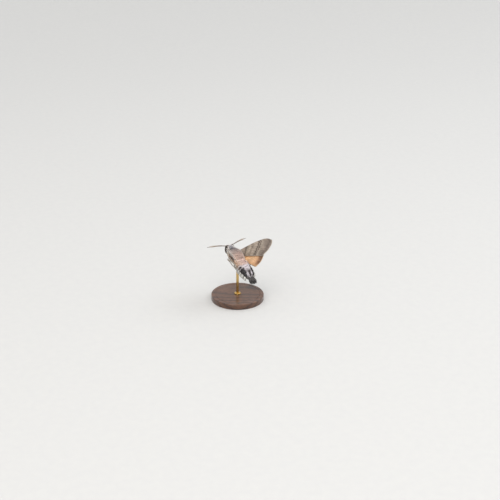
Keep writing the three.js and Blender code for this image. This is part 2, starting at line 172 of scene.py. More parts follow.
def addNode(tree, kind, inputs=(), out=0, stops=(), **settings):
    # Adds a node with its settings, links and colour stops, and gives back the output asked for
    made = tree.nodes.new("ShaderNode" + kind)
    for name, value in settings.items():
        setattr(made, name, value)
    for socket, value in inputs.items() if isinstance(inputs, dict) else enumerate(inputs):
        if isinstance(value, bpy.types.NodeSocket):
            tree.links.new(value, made.inputs[socket])
        else:
            made.inputs[socket].default_value = value
    if stops:
        made.color_ramp.interpolation = "EASE"
        while len(made.color_ramp.elements) < len(stops):
            made.color_ramp.elements.new(0.5)
        for element, (place, code) in zip(made.color_ramp.elements, sorted(stops)):
            element.position = place
            element.color = toLinear(code)
    return made.outputs[out]


softRange = {"interpolation_type": "SMOOTHSTEP"}  # for a range: value, from low, from high, to low, to high
colourMix = {"out": 2, "data_type": "RGBA"}  # for a mix of colours: 0 is the share, 6 and 7 the colours
colourProduct = {**colourMix, "blend_type": "MULTIPLY"}


def ruffled(add, value, noise, amount):
    # The value moved to and fro by a noise that runs from 0 to 1
    swing = add("Math", [noise, 0.5], operation="SUBTRACT")
    return add("Math", [swing, amount, value], operation="MULTIPLY_ADD")


def newMaterial(name, sockets):
    # Gives back the material, and addNode for its own tree
    material = bpy.data.materials.new(name)
    material.use_nodes = True
    for socket, value in sockets.items():
        material.node_tree.nodes["Principled BSDF"].inputs[socket].default_value = value
    return material, functools.partial(addNode, material.node_tree)


def linkSurface(material, colour, height=None, strength=0.0, depth=0.0, roughness=None):
    # Links the colour and what else is given; the relief's depth is in metres
    tree = material.node_tree
    shader = tree.nodes["Principled BSDF"].inputs
    tree.links.new(colour, shader["Base Color"])
    if height:
        relief = addNode(tree, "Bump", {"Height": height, "Strength": strength, "Distance": depth})
        tree.links.new(relief, shader["Normal"])
    if roughness:
        tree.links.new(roughness, shader["Roughness"])


# The coat's markings. Each tuft takes the colour of the place it grows from, so skin and coat agree.
# A place is how far along the body it is, from the palps to the tail's end, and how far down from the back.
coatMap = {"front": 10.2, "length": 31.4, "height": -0.15, "seam": 0.97, "margin": 0.01}
coatColours = {  # place in mm along the moth's own y, and colour there
    "back": [
        (9, "#c0bcbc"), (6.6, "#aca9ae"), (5.2, "#959298"), (4.2, "#837d81"), (2, "#ac9c97"), (-1.5, "#d4b9ae"),
        (-5, "#ddc1b8"), (-8, "#dac1b9"), (-9, "#d7cfd5"), (-11.6, "#d0c9cf"), (-12.4, "#4e4546"), (-16, "#322d2f"),
    ],
    "shoulder": [
        (9, "#c7c4c4"), (6.6, "#b2afb2"), (5.2, "#9c989c"), (4.2, "#888286"), (2, "#b2a39d"), (-1.5, "#d9bfb3"),
        (-5, "#dfc6bb"), (-7.9, "#dbc5bc"), (-8.8, "#dfdae0"), (-11.4, "#d7cfd5"), (-12.2, "#8e8688"),
        (-13.2, "#e4dfe5"), (-15.4, "#d8cfd6"), (-16.5, "#342e30"),
    ],
    "flank": [
        (9, "#d6d4d2"), (6.4, "#b8b4b3"), (5.2, "#a09e9f"), (3, "#bdb0aa"), (-1.5, "#e0cabf"), (-6.6, "#dfc8bc"),
        (-7.5, "#dcd8de"), (-9.6, "#d0c9cd"), (-10.2, "#373236"), (-12.9, "#343034"), (-13.5, "#dad4da"),
        (-15.2, "#ccc5cb"), (-16.3, "#3e373b"),
    ],
    "side": [
        (9, "#ebe6dc"), (6.2, "#c2bcb6"), (3, "#d5c8bd"), (-2, "#dfd0c3"), (-6.6, "#ddc8ba"), (-7.4, "#dfd9dd"),
        (-9.4, "#d0cace"), (-9.9, "#322d31"), (-14.3, "#302c30"), (-15, "#807979"), (-16.6, "#3a3537"),
    ],
    "belly": [
        (9, "#efeae0"), (5, "#ede7dc"), (0, "#f1ece1"), (-5, "#e8ded0"), (-9, "#d1c4b6"), (-13, "#b0a197"),
        (-16.4, "#453c37"),
    ],
}
bandEdges = [(0.08, 0.14), (0.17, 0.22), (0.27, 0.34), (0.5, 0.6)]  # how far down one band gives way to the next
markingEdge = {"scale": 22.0, "along": 0.06, "down": 0.18}  # how ragged the markings end
coatLight = {"root": 0.72, "tip": 1.12, "tufts": (0.86, 1.12)}  # root to tip is painted shade, darkest low in the coat; darkest to lightest tuft is a random tone
plainLight = (0.8, 1.08)  # darkest to lightest scale of one colour


def alongShare(y):
    return (coatMap["front"] - y) / coatMap["length"]


def turnFromBack(points):
    return np.arctan2(points[:, 0], points[:, 2] - coatMap["height"]) / math.pi


def coatPlaces(points):
    return np.stack([alongShare(points[:, 1]), np.abs(turnFromBack(points))], 1)


def coatUv(points):
    # The skin cut along the belly and laid flat
    margin = coatMap["margin"]
    along = margin + (1 - 2 * margin) * alongShare(points[:, 1])
    return np.stack([0.5 + coatMap["seam"] * turnFromBack(points) / 2, along], 1)


def coatPlace(add, axis):
    # Along the body, down from the back, or from the tuft's root to its tip
    place = add("Attribute", out="Vector", attribute_name="coatPlace")
    return place, add("SeparateXYZ", [place], axis)


def linkTuftColour(material, add, colour, tufts):
    # Makes each tuft a little lighter or darker than the next
    shade = add("Attribute", out="Fac", attribute_name="tuftShade")
    light = add("MapRange", [shade, 0, 1, *tufts], **softRange)
    linkSurface(material, add("Mix", {0: 1.0, 6: colour, 7: light}, **colourProduct))


def coatMaterial(name, roughness):
    # Hair scales: keratin-like chitin, matt, with a soft sheen at grazing angles; painted shade makes each tuft dark at
    # the root, low in the coat, and pale at the tip
    material, add = newMaterial(name, {
        "Roughness": roughness, "IOR": 1.5, "Sheen Weight": 0.35, "Sheen Roughness": 0.5, "Specular IOR Level": 0.25,
    })
    place, along = coatPlace(add, "X")
    noise = add("TexNoise", {"Vector": place, "Scale": markingEdge["scale"], "Detail": 3.0, "Roughness": 0.65})
    along = ruffled(add, along, noise, markingEdge["along"])
    down = ruffled(add, coatPlace(add, "Y")[1], noise, markingEdge["down"])
    bands = [[(alongShare(y), code) for y, code in band] for band in coatColours.values()]
    colour, *lowerBands = (add("ValToRGB", [along], stops=band) for band in bands)
    for edge, lower in zip(bandEdges, lowerBands):
        share = add("MapRange", [down, *edge], **softRange)
        colour = add("Mix", {0: share, 6: colour, 7: lower}, **colourMix)
    # painted shade: each tuft darkens towards its root, where the coat around it shades it
    light = add("MapRange", [coatPlace(add, "Z")[1], 0, 1, coatLight["root"], coatLight["tip"]], **softRange)
    linkTuftColour(material, add, add("Mix", {0: 1.0, 6: colour, 7: light}, **colourProduct), coatLight["tufts"])
    return material


def plainScaleMaterial(name, root, tip, roughness=0.7):
    # Long hair scales whose colour runs from the root's to the tip's, each a little lighter or darker than the next; a
    # root darker than its tip is painted shade, low among the scales
    material, add = newMaterial(name, {
        "Roughness": roughness, "IOR": 1.5, "Sheen Weight": 0.3, "Sheen Roughness": 0.5, "Specular IOR Level": 0.3,
    })
    # where the root colour is the darker one, it is painted shade low among the scales
    colour = add("ValToRGB", [coatPlace(add, "Z")[1]], stops=[(0, root), (0.85, tip)])
    linkTuftColour(material, add, colour, plainLight)
    return material


# Skin: head, thorax, abdomen, palps and the root of the tail as one surface, inside the solids by the coat's depth
bodyForms = [
    {"centre": 0, "height": 0, "front": 5.7, "rear": 6.2, "half": 4.1, "up": 3.95, "down": 3.95, "coat": 0.55},
    {"centre": -9, "height": -0.2, "front": 7.4, "rear": 7.6, "half": 3.65, "up": 3.4, "down": 3.3, "coat": 0.3},
    {"centre": 6.7, "height": -0.15, "front": 2.05, "rear": 3.2, "half": 2.3, "up": 1.95, "down": 2, "coat": 0.3},
    {"centre": -15.3, "height": -0.2, "front": 1.4, "rear": 2.2, "half": 1.75, "up": 1.15, "down": 1.15, "coat": 0.2},
]
palpForm = {
    "x": 1.06, "root": (7.1, -1.75), "tip": (9.45, -0.35), "bow": 0.5, "half": 0.42, "thick": 0.46, "beads": 9,
    "reach": 0.92, "least": 0.55, "swell": (0.2, 0.75), "tall": 1.15,
}
skinGrain = {"voxel": 0.16, "smoothing": 8, "shade": 0.4, "depth": 0.15}  # the skin carries painted shade: it is darkened like the tufts near their roots, low down between them


def eggShape(form):
    # A round primitive drawn out by its own length before and behind its widest place, and up and down
    bpy.ops.mesh.primitive_uv_sphere_add(segments=48, ring_count=24, radius=1)
    egg = bpy.context.object
    depth = form["coat"]
    halves = [
        ("y", 1, (1, form["front"] - depth, 1)), ("y", -1, (1, form["rear"] - depth, 1)),
        ("z", 1, (1, 1, form["up"] - depth)), ("z", -1, (1, 1, form["down"] - depth)),
    ]
    for axis, sign, stretch in halves:
        pickParts(egg, "VERT", lambda vertex: getattr(vertex.co, axis) * sign > 1e-5)
        bpy.ops.transform.resize(value=stretch, center_override=(0, 0, 0))
    bpy.ops.mesh.select_all(action="SELECT")
    bpy.ops.transform.resize(value=(form["half"] - depth, 1, 1), center_override=(0, 0, 0))
    bpy.ops.transform.translate(value=(0, form["centre"], form["height"]))
    bpy.ops.object.mode_set(mode="OBJECT")
    return egg


def palpShapes(side):
    root, tip = (Vector((side * palpForm["x"], *palpForm[end])) for end in ("root", "tip"))
    along = (tip - root).normalized()
    up = Vector((0, -along.z, along.y))
    start, more = palpForm["swell"]
    lumps = []
    for i in range(palpForm["beads"]):
        share = i / (palpForm["beads"] - 1)
        full = palpForm["least"] + (1 - palpForm["least"]) * math.sin(math.pi * min(1, start + share * more))
        place = root.lerp(tip, share * palpForm["reach"]) - up * palpForm["bow"] * math.sin(math.pi * share)
        bpy.ops.mesh.primitive_uv_sphere_add(segments=24, ring_count=12, radius=1, location=place)
        lump = bpy.context.object
        lump.scale = (palpForm["half"] * full, palpForm["thick"] * full * palpForm["tall"], palpForm["thick"] * full)
        lumps.append(lump)
    return lumps


def makeSkin():
    lumps = [eggShape(form) for form in bodyForms] + palpShapes(-1) + palpShapes(1)
    bpy.ops.object.select_all(action="DESELECT")
    for lump in lumps:
        lump.select_set(True)
    bpy.context.view_layer.objects.active = lumps[0]
    bpy.ops.object.join()
    piece = bpy.context.object
    piece.name = "moth_skin"
    bpy.ops.object.transform_apply(location=True, rotation=True, scale=True)
    remesh = piece.modifiers.new("one surface", "REMESH")
    remesh.mode = "VOXEL"
    remesh.voxel_size = skinGrain["voxel"]
    remesh.use_smooth_shade = True
    relax = piece.modifiers.new("soft seams", "SMOOTH")
    relax.iterations = skinGrain["smoothing"]
    relax.factor = 0.5
    for modifier in (remesh.name, relax.name):
        bpy.ops.object.modifier_apply(modifier=modifier)
    places = coatPlaces(readVectors(piece.data.vertices, "co"))
    # painted shade: the skin takes the root-to-tip share found low down between the tufts, so it is darkened like their
    # roots
    rootShadeShares = np.full(len(places), skinGrain["depth"])
    setAttribute(piece, "coatPlace", np.column_stack([places, rootShadeShares]), "FLOAT_VECTOR")
    setAttribute(piece, "tuftShade", np.full(len(places), skinGrain["shade"]))
    print("skin:", len(piece.data.polygons), "faces")
    return piece


skin = makeSkin()

# Coat: flat tapered tufts that grow from the skin and lie along it. Each coat's dictionary gives, in mm and degrees,
# the tufts' length and how it varies, their width and thickness, their lift off the skin and how unruly it is, their
# curl, and how far they sway off the coat's lie.
plainStations = [(0, 0.55), (0.45, 1)]  # share of the length, and of the width there
slimStations = [(0, 0.55), (0.4, 1), (0.75, 0.75)]
fullStations = [(0, 0.5), (0.35, 1), (0.75, 0.8)]
tuftRoots = {"sunk": 0.08, "patch": 0.003}  # mm under the skin, and the width on the OFBake map


def skinSamples(count, keep):
    # Even random places on the part of the skin that keep() picks, with the normal at each
    skin.data.calc_loop_triangles()
    triangles = np.empty(len(skin.data.loop_triangles) * 3, int)
    skin.data.loop_triangles.foreach_get("vertices", triangles)
    triangles = triangles.reshape(-1, 3)
    normals = readVectors(skin.data.vertex_normals, "vector")
    corners = readVectors(skin.data.vertices, "co")[triangles]
    area = np.linalg.norm(np.cross(corners[:, 1] - corners[:, 0], corners[:, 2] - corners[:, 0]), axis=1)
    area = area * keep(corners.mean(1))
    picked = dice.choice(len(triangles), count, p=area / area.sum())
    a, b = dice.random((2, count, 1))
    folded = a + b > 1
    a, b = np.where(folded, 1 - a, a), np.where(folded, 1 - b, b)
    shares = np.stack([a, b, 1 - a - b], 1)
    return (corners[picked] * shares).sum(1), unit((normals[triangles[picked]] * shares).sum(1))


def growTufts(name, roots, normals, flow, shape, uvPlaces=None, places=None):
    # Each station of a tuft is a triangle with its keel outwards; length to curl are one number or one a tuft
    count = len(roots)
    length, width, thick, lift, curl = (
        np.broadcast_to(np.asarray(shape[key], float), count)[:, None]
        for key in ("length", "width", "thick", "lift", "curl")
    )
    stations = shape.get("stations", plainStations)
    ahead = unit(flow - normals * (flow * normals).sum(1, keepdims=True))
    side = np.cross(ahead, normals)
    spine = roots - normals * shape.get("sunk", tuftRoots["sunk"])
    points, before = [], 0.0
    for share, wide in [*stations, (1.0, 0)]:
        turn = np.radians(lift - curl * (before + share) / 2)
        spine = spine + (ahead * np.cos(turn) + normals * np.sin(turn)) * length * (share - before)
        before = share
        half = side * width * wide / 2
        keel = (normals * np.cos(turn) - ahead * np.sin(turn)) * thick * wide
        points += [spine + half, spine + keel, spine - half] if wide else [spine]
    perTuft = len(points)
    points = np.stack(points, 1).reshape(-1, 3)
    pattern, top = [(0, 1, 2)], perTuft - 4
    for i, j in ((0, 1), (1, 2), (2, 0)):
        for k in range(0, top, 3):
            pattern += [(i + k, i + k + 3, j + k + 3), (i + k, j + k + 3, j + k)]
        pattern.append((top + i, perTuft - 1, top + j))
    faces = np.array(pattern)[None] + np.arange(count)[:, None, None] * perTuft
    tufts = meshPiece(name, points, faces.reshape(-1, 3).tolist())
    tips = np.array([share for share, _ in stations for _ in range(3)] + [1.0])
    rootPlaces = coatPlaces(roots) if places is None else places
    perPoint = np.column_stack([np.repeat(rootPlaces, perTuft, 0), np.tile(tips, count)])
    setAttribute(tufts, "coatPlace", perPoint, "FLOAT_VECTOR")
    setAttribute(tufts, "tuftShade", np.repeat(dice.random(count), perTuft))
    patch = np.stack([np.array([*(-0.5, 0, 0.5) * len(stations), 0]), tips - 0.5], 1) * tuftRoots["patch"]
    uv = np.repeat(coatUv(roots) if uvPlaces is None else uvPlaces, perTuft, 0)
    setUv(tufts, "OFBake", np.clip(uv + np.tile(patch, (count, 1)), 0, 1))
    print(name + ":", len(tufts.data.polygons), "triangles")
    return tufts


def growCoat(name, form, at, normal, flow, grow=1.0, lift=None):
    count = len(at)
    length = form["length"] * grow * dice.uniform(*form["lengths"], count)
    width = form["width"] * (dice.uniform(*form["widths"], count) if "widths" in form else 1)
    lift = (form["lift"] if lift is None else lift) + dice.normal(0, form["unruly"], count)
    curl = form["bend"] * length if "bend" in form else form["curl"]
    return growTufts(name, at, normal, flow, {**form, "length": length, "width": width, "lift": lift, "curl": curl})


def backwards(count, sway):
    # The lie of nearly all the coat: to the tail, each tuft a little off
    return np.array([0.0, -1.0, 0.0]) + dice.normal(0, sway, (count, 3))


def between(values, low, high):
    return (values > low) & (values < high)


def downFrom(points):
    return coatPlaces(points)[:, 1]


bodyHalves = {"upper": (-1, 0.5), "lower": (0.5, 2)}


def within(*regions):
    # Picks the skin in these regions, each given along the body and down from the back
    return lambda p: sum(between(p[:, 1], *along) & between(downFrom(p), *down) for along, down in regions)


eyeForm = {"out": 1.5, "along": 6.95, "up": 0.0, "radii": (1.2, 1.3, 1.3)}


def eyeCentre(side):
    return np.array([side * eyeForm["out"], eyeForm["along"], eyeForm["up"]])


def fromEye(points, side, margin=0.0):
    # 1 on the eye, or on a shell that lies the margin outside it
    return np.linalg.norm((points - eyeCentre(side)) / (np.array(eyeForm["radii"]) + margin), axis=1)


def clearOfEyes(points, margin):
    return (fromEye(points, -1, margin) > 1) & (fromEye(points, 1, margin) > 1)


headCoat = {
    "count": 15000, "from": 4.4, "length": 0.85, "faceLength": 0.42, "lengths": (0.75, 1.2), "width": 0.13,
    "thick": 0.05, "lift": 32, "faceLift": 17, "unruly": 6, "curl": 28, "sway": 0.22, "part": 0.35,
    "face": (6.4, 8.4), "neck": (6.4, 5.2), "crest": 0.5, "palps": (7.4, -0.7), "palpLie": (0.0, 0.75, 0.65),
    "rootGap": 0.06, "tipGap": -0.05, "reach": 0.7,
}


def makeHeadCoat():
    form = headCoat
    at, normal = skinSamples(form["count"], lambda p: p[:, 1] > form["from"])
    clear = clearOfEyes(at, form["rootGap"])
    at, normal = at[clear], normal[clear]
    flow = np.tile([0.0, -1.0, 0.0], (len(at), 1))
    flow[:, 2] += form["part"] * np.sign(at[:, 2])
    onPalps = (at[:, 1] > form["palps"][0]) & (at[:, 2] < form["palps"][1])
    flow[onPalps] = form["palpLie"]  # the scales of the palps point forward and up
    face = smoothStep(*form["face"], at[:, 1])
    length = form["length"] + (form["faceLength"] - form["length"]) * face
    length += form["crest"] * smoothStep(*form["neck"], at[:, 1])  # the longer scales that close the neck
    length *= dice.uniform(*form["lengths"], len(at))
    clear = clearOfEyes(at + unit(flow) * length[:, None] * form["reach"], form["tipGap"])
    at, normal, flow, length, face = (values[clear] for values in (at, normal, flow, length, face))
    flow = flow + dice.normal(0, form["sway"], flow.shape)
    lift = form["lift"] + (form["faceLift"] - form["lift"]) * face + dice.normal(0, form["unruly"], len(at))
    return growTufts("coat_head", at, normal, flow, {**form, "length": length, "lift": lift})


# The short pale scales that frame each eye and hang over its rim, longest above and behind it
eyeRing = {
    "count": 1500, "reach": (0.96, 1.26), "length": 0.36, "brow": 0.5, "browTurn": (0, -0.6, 0.8),
    "browEdge": (-0.1, 0.75), "lengths": (0.75, 1.1), "width": 0.1, "thick": 0.035, "lift": 15, "unruly": 4,
    "bend": 62, "sway": 0.16, "towards": (1.5, 0.25, -0.2),
}


def makeEyeRing(name, side):
    form = eyeRing
    at, _ = skinSamples(form["count"], lambda p: between(fromEye(p, side), *form["reach"]))
    away = unit(at - eyeCentre(side))
    flow = eyeCentre(side) + np.array(form["towards"]) * [side, 1, 1] - at + dice.normal(0, form["sway"], at.shape)
    brow = smoothStep(*form["browEdge"], away @ form["browTurn"])
    return growCoat(name, form, at, away, flow, 1 + form["brow"] / form["length"] * brow)


thoraxCoat = {
    "upper": 19000, "lower": 14000, "along": (-6.3, 5.6), "length": 1.25, "lengths": (0.72, 1.15), "width": 0.17,
    "thick": 0.06, "lift": 27, "unruly": 5, "curl": 30, "sway": 0.12, "part": 0.18, "partEdge": (1.5, 3.6),
    "clump": 0.16, "clumpLift": 7, "clumpWaves": (5.1, 1.7, 4.3, 2.1),  # clumps about 1.3 mm apart
    "least": 0.62, "middle": (5.2, 2.0, 0.5), "hind": (-3.0, -6.0, 0.35), "under": 0.85,
}


def makeThoraxCoat(half):
    form, upper = thoraxCoat, half == "upper"
    at, normal = skinSamples(form[half], within((form["along"], bodyHalves[half])))
    flow = backwards(len(at), form["sway"])
    flow[:, 0] += form["part"] * np.sign(at[:, 0]) * smoothStep(*form["partEdge"], np.abs(at[:, 0]))
    x, y, z = at.T
    a, b, c, d = form["clumpWaves"]
    clumps = np.sin(x * a + y * b) * np.cos(z * c - y * d)
    flow[:, 0] += form["clump"] * clumps
    grow = form["least"]
    for start, end, more in (form["middle"], form["hind"])[:2 if upper else 1]:
        grow = grow + more * smoothStep(start, end, at[:, 1])
    lift = form["lift"] + form["clumpLift"] * clumps
    return growCoat("coat_thorax_" + half, form, at, normal, flow, grow * (1 if upper else form["under"]), lift)


# The long scales at the thorax's hind edge that hang ragged over the waist and the first rings of the abdomen
fringeCoat = {
    "count": 7600, "back": -7.0, "side": -4.9, "edge": (0.12, 0.5), "band": 3.2, "lowest": 0.7, "length": 2.3,
    "lengths": (0.75, 1.1), "ragged": (0.86, 0.22), "width": 0.22, "thick": 0.07, "least": 7, "unruly": 4, "curl": 12,
    "sway": 0.09, "stations": fullStations,
}


def makeThoraxFringe():
    form = fringeCoat

    def keep(p):
        edge = form["back"] + (form["side"] - form["back"]) * smoothStep(*form["edge"], downFrom(p))
        return between(p[:, 1] - edge, 0, form["band"]) & (downFrom(p) < form["lowest"])

    at, normal = skinSamples(form["count"], keep)
    middle, swing = form["ragged"]
    grow = middle + swing * np.sin(at[:, 0] * 3.3 + 0.7) * np.cos(at[:, 2] * 2.9)  # in locks about 2 mm wide
    # The tufts stay level with the body where the skin falls away under them
    away = form["least"] + np.degrees(np.arcsin(np.clip(-normal[:, 1], -1, 1)))
    flow = backwards(len(at), form["sway"])
    return growCoat("coat_thorax_fringe", form, at, normal, flow, grow, np.maximum(form["least"], away))


# Collar behind the head, and the long scales that hide the wings' roots above and below
collarCoat = {
    "count": 2600, "along": (4.3, 5.5), "down": (-1, 0.8), "length": 1.35, "lengths": (0.75, 1.15), "width": 0.2,
    "thick": 0.06, "lift": 33, "unruly": 5, "curl": 40, "sway": 0.14,
}
wingRootCoat = {
    "count": 3400, "above": ((-3.4, 3.6), (0.2, 0.34)), "below": ((-3.8, 2.6), (0.42, 0.52)), "outward": 0.55,
    "length": 2.1, "lengths": (0.6, 1.1), "width": 0.19, "thick": 0.06, "lift": 24, "unruly": 5, "curl": 26,
    "sway": 0.12, "stations": slimStations,
}


def makeCollar():
    form = collarCoat
    at, normal = skinSamples(form["count"], within((form["along"], form["down"])))
    return growCoat("coat_collar", form, at, normal, backwards(len(at), form["sway"]))


def makeWingRootCoat():
    form = wingRootCoat
    at, normal = skinSamples(form["count"], within(form["above"], form["below"]))
    flow = backwards(len(at), form["sway"])
    flow[:, 0] += form["outward"] * np.sign(at[:, 0])
    return growCoat("coat_wing_roots", form, at, normal, flow)


# Rows of broad scales lie over the next ring of the abdomen, with a longer row at each ring's edge
abdomenCoat = {
    "count": 15500, "along": (-17.2, -5.6), "length": 0.78, "lengths": (0.8, 1.15), "width": 0.3,
    "widths": (0.8, 1.15), "thick": 0.045, "lift": 13, "unruly": 3, "curl": 10, "sway": 0.09,
    "firstRing": -4.6, "ring": 1.63, "edge": (0.72, 0.95), "edgeGrow": 0.35, "edgeLift": 9,
}


def makeAbdomenCoat(half):
    form = abdomenCoat
    at, normal = skinSamples(form["count"], within((form["along"], bodyHalves[half])))
    flow = backwards(len(at), form["sway"])
    edge = smoothStep(*form["edge"], ((form["firstRing"] - at[:, 1]) / form["ring"]) % 1)
    grow, lift = 1 + form["edgeGrow"] * edge, form["lift"] + form["edgeLift"] * edge
    return growCoat("coat_abdomen_" + half, form, at, normal, flow, grow, lift)


# Brushes along the sides of the abdomen, one group of clumps to a ring: white ones low, black ones above them
sideBrush = {
    "rows": [(-7.6, 42), (-9.1, 38), (-10.7, 34), (-12.3, 30), (-13.9, 26)],  # y and splay
    "length": 2.45, "lengths": (0.75, 1), "width": 0.15, "thick": 0.05, "hairs": 110, "curl": 14, "sunk": 0.25,
    "stations": [(0, 0.6), (0.35, 1), (0.75, 0.8)], "tiltSway": 4, "splaySway": 5, "sway": 0.08,
    "round": 2.1, "least": 0.05,
    "white": {"tilts": (-42, -23, -4), "from": 0, "reach": 1.0, "splay": 1, "loose": 0.2, "back": 0.25},
    "black": {"tilts": (10, 24, 36), "from": 1, "reach": 0.68, "splay": 0.55, "loose": 0.45, "back": 0.7},
}


def makeSideBrushes(colour):
    form = {**sideBrush, **sideBrush[colour]}
    body, hairs = bodyForms[1], form["hairs"]
    roots, normals, flows = [], [], []
    for side, (row, splay), tilt in itertools.product((-1, 1), form["rows"][form["from"]:], form["tilts"]):
        y = row + form["back"]
        full = math.sqrt(max(form["least"], 1 - (abs(y - body["centre"]) / body["rear"]) ** form["round"]))
        angle = np.radians(tilt + dice.normal(0, form["tiltSway"], hairs))
        out = np.stack([side * np.cos(angle), np.zeros(hairs), np.sin(angle)], 1)
        reach = np.array([body["half"] - body["coat"], 0, body["up"] - body["coat"]])
        at = out * reach * full + np.array([0, y, body["height"]])
        at[:, 1] += dice.uniform(-1, 1, hairs) * form["loose"]
        turn = np.radians(splay * form["splay"] + dice.normal(0, form["splaySway"], hairs))[:, None]
        roots.append(at)
        normals.append(out)
        flows.append(
            np.array([0, -1, 0]) * np.cos(turn) + out * np.sin(turn) + dice.normal(0, form["sway"], (hairs, 3))
        )
    at, normal, flow = np.vstack(roots), np.vstack(normals), unit(np.vstack(flows))
    lift = np.degrees(np.arcsin(np.clip((flow * normal).sum(1), -1, 1)))
    length = form["length"] * form["reach"] * dice.uniform(*form["lengths"], len(at))
    return growTufts("side_brushes_" + colour, at, normal, flow, {**form, "length": length, "lift": lift})


# Tail fan: long flat scales in tiers, spread like a small brush
tailFan = {
    "root": -15.0, "depth": 1.3, "half": 1.3, "rise": 0.75, "length": 5.1, "width": 0.42, "thick": 0.09, "lift": 0,
    "curl": 3, "blades": 560, "spread": 8, "droop": 5, "sway": (2.5, 2), "lengths": (0.8, 1.0), "widths": (0.7, 1.1),
    "round": 0.75, "tipRound": 0.13, "tiers": 0.16, "outward": 0.3, "sunk": 0,
    "stations": [(0, 0.55), (0.4, 0.95), (0.8, 0.85)],
}


def makeTailFan():
    form, count = tailFan, tailFan["blades"]
    across, level = dice.uniform(-1, 1, count), dice.uniform(-1, 1, count)
    rim = np.sqrt(np.clip(1 - form["round"] * across**2, 0, 1))
    at = np.stack([
        across * form["half"], form["root"] - dice.uniform(0, form["depth"], count),
        bodyForms[1]["height"] + form["rise"] * level * rim,
    ], 1)
    turn = np.radians(form["spread"] * across + dice.normal(0, form["sway"][0], count))
    droop = np.radians(form["droop"] * level + dice.normal(0, form["sway"][1], count))
    flow = np.stack([np.sin(turn), -np.cos(turn), np.sin(droop)], 1)
    # The blades face up or down, and a little outwards at the sides
    up = np.stack([form["outward"] * across * np.sign(level), np.zeros(count), np.sign(level) + 0.001], 1)
    normal = unit(up - flow * (up * flow).sum(1, keepdims=True) / (flow * flow).sum(1, keepdims=True))
    reach = (1 - form["tipRound"] * across**2) * (1 - form["tiers"] * np.abs(level))
    reach = reach * dice.uniform(*form["lengths"], count)
    sunk = form["root"] - at[:, 1]
    shape = {**form, "length": (form["length"] + sunk) * reach - sunk}
    shape["width"] = form["width"] * dice.uniform(*form["widths"], count)
    return growTufts("tail_fan_scales", at, normal, flow, shape)


hairCoat = [coatMaterial("matt chitin hair scales", 0.75)]
scaleCoat = [coatMaterial("flat overlapping chitin scales", 0.62)]
eyeFrame = [plainScaleMaterial("pale scales round the eyes", "#b3acab", "#ded7d3")]
whiteBrush = [plainScaleMaterial("white hair scales", "#ebe8e2", "#f8f7f3")]
blackBrush = [plainScaleMaterial("black hair scales", "#1b1a1b", "#383538", 0.6)]
tailScales = [plainScaleMaterial("brown black tail scales", "#161414", "#383433", 0.6)]

settle(makeHeadCoat(), hairCoat)
for sideName, side in bothSides:
    settle(makeEyeRing("eye_ring_" + sideName, side), eyeFrame)
for half in bodyHalves:
    settle(makeThoraxCoat(half), hairCoat)
settle(makeThoraxFringe(), hairCoat)
settle(makeCollar(), hairCoat)
settle(makeWingRootCoat(), hairCoat)
for half in bodyHalves:
    settle(makeAbdomenCoat(half), scaleCoat)
settle(makeSideBrushes("white"), whiteBrush)
settle(makeSideBrushes("black"), blackBrush)
settle(makeTailFan(), tailScales, ["tail_fan"])
settle(skin, hairCoat, ["thorax", "abdomen", "head", "palp_left", "palp_right"])
print("coat grown")


# Eyes: polished dark chitin with fine facets
facetSize = 0.09  # mm across; real facets are about 0.03, too fine to show


def eyeMaterial():
    material, add = newMaterial(
        "glossy compound eye chitin", {"Roughness": 0.2, "IOR": 1.5, "Specular IOR Level": 0.4}
    )
    place = add("TexCoord", out="Object")
    blotch = add("TexNoise", {"Vector": place, "Scale": 900.0, "Detail": 2.0})
    colour = add("ValToRGB", [blotch], stops=[(0.3, "#140c08"), (0.55, "#281a13"), (0.75, "#3a2b20")])
    facets = add("TexVoronoi", {"Vector": place, "Scale": 1000 / facetSize})
    linkSurface(material, colour, facets, 0.25, 0.00003)
    return material


def makeEye(name, side, material):
    bpy.ops.mesh.primitive_uv_sphere_add(segments=64, ring_count=32, radius=1, location=eyeCentre(side))
    eye = bpy.context.object
    eye.name = "compound_" + name
    eye.scale = eyeForm["radii"]
    bpy.ops.object.transform_apply(location=True, rotation=True, scale=True)
    bpy.ops.object.shade_smooth()
    settle(eye, [material], [name])


eyeChitin = eyeMaterial()
for sideName, side in bothSides:
    makeEye("eye_" + sideName, side, eyeChitin)


# Feelers and tongue

def hornMaterial(name, stops, roughness, rings):
    # Chitin of many short rings, waxy and half glossy; the pattern follows the tube's own map
    material, add = newMaterial(name, {"Roughness": roughness, "IOR": 1.55, "Specular IOR Level": 0.45})
    along = add("SeparateXYZ", [add("UVMap", uv_map="tubeMap")], "Y")
    place = add("TexCoord", out="Object")
    noise = add("TexNoise", {"Vector": place, "Scale": 2500.0, "Detail": 3.0})
    colour = add("ValToRGB", [ruffled(add, along, noise, 0.08)], stops=stops)
    turns = add("Math", [along, 2 * math.pi * rings], operation="MULTIPLY")
    linkSurface(material, colour, add("Math", [turns], operation="SINE"), 0.5, 0.00003)
    return material


antennaForm = {
    "root": (0.95, 7.07, 1.1), "toward": (0.945, 0.31, -0.08), "length": 11.62, "rise": 0.54, "pace": 1.1, "base": 0.2,
    "club": 0.4, "clubAt": 0.74, "tip": 0.45, "hook": 19.8, "hookFrom": 0.86, "hookWay": (0.35, -0.94, 0), "arch": 0.42,
    "archAt": 0.054, "archWide": 0.07, "foot": 0.35, "footEnd": (0.06, 0.045), "rings": 64, "waist": 0.07, "sides": 14,
}


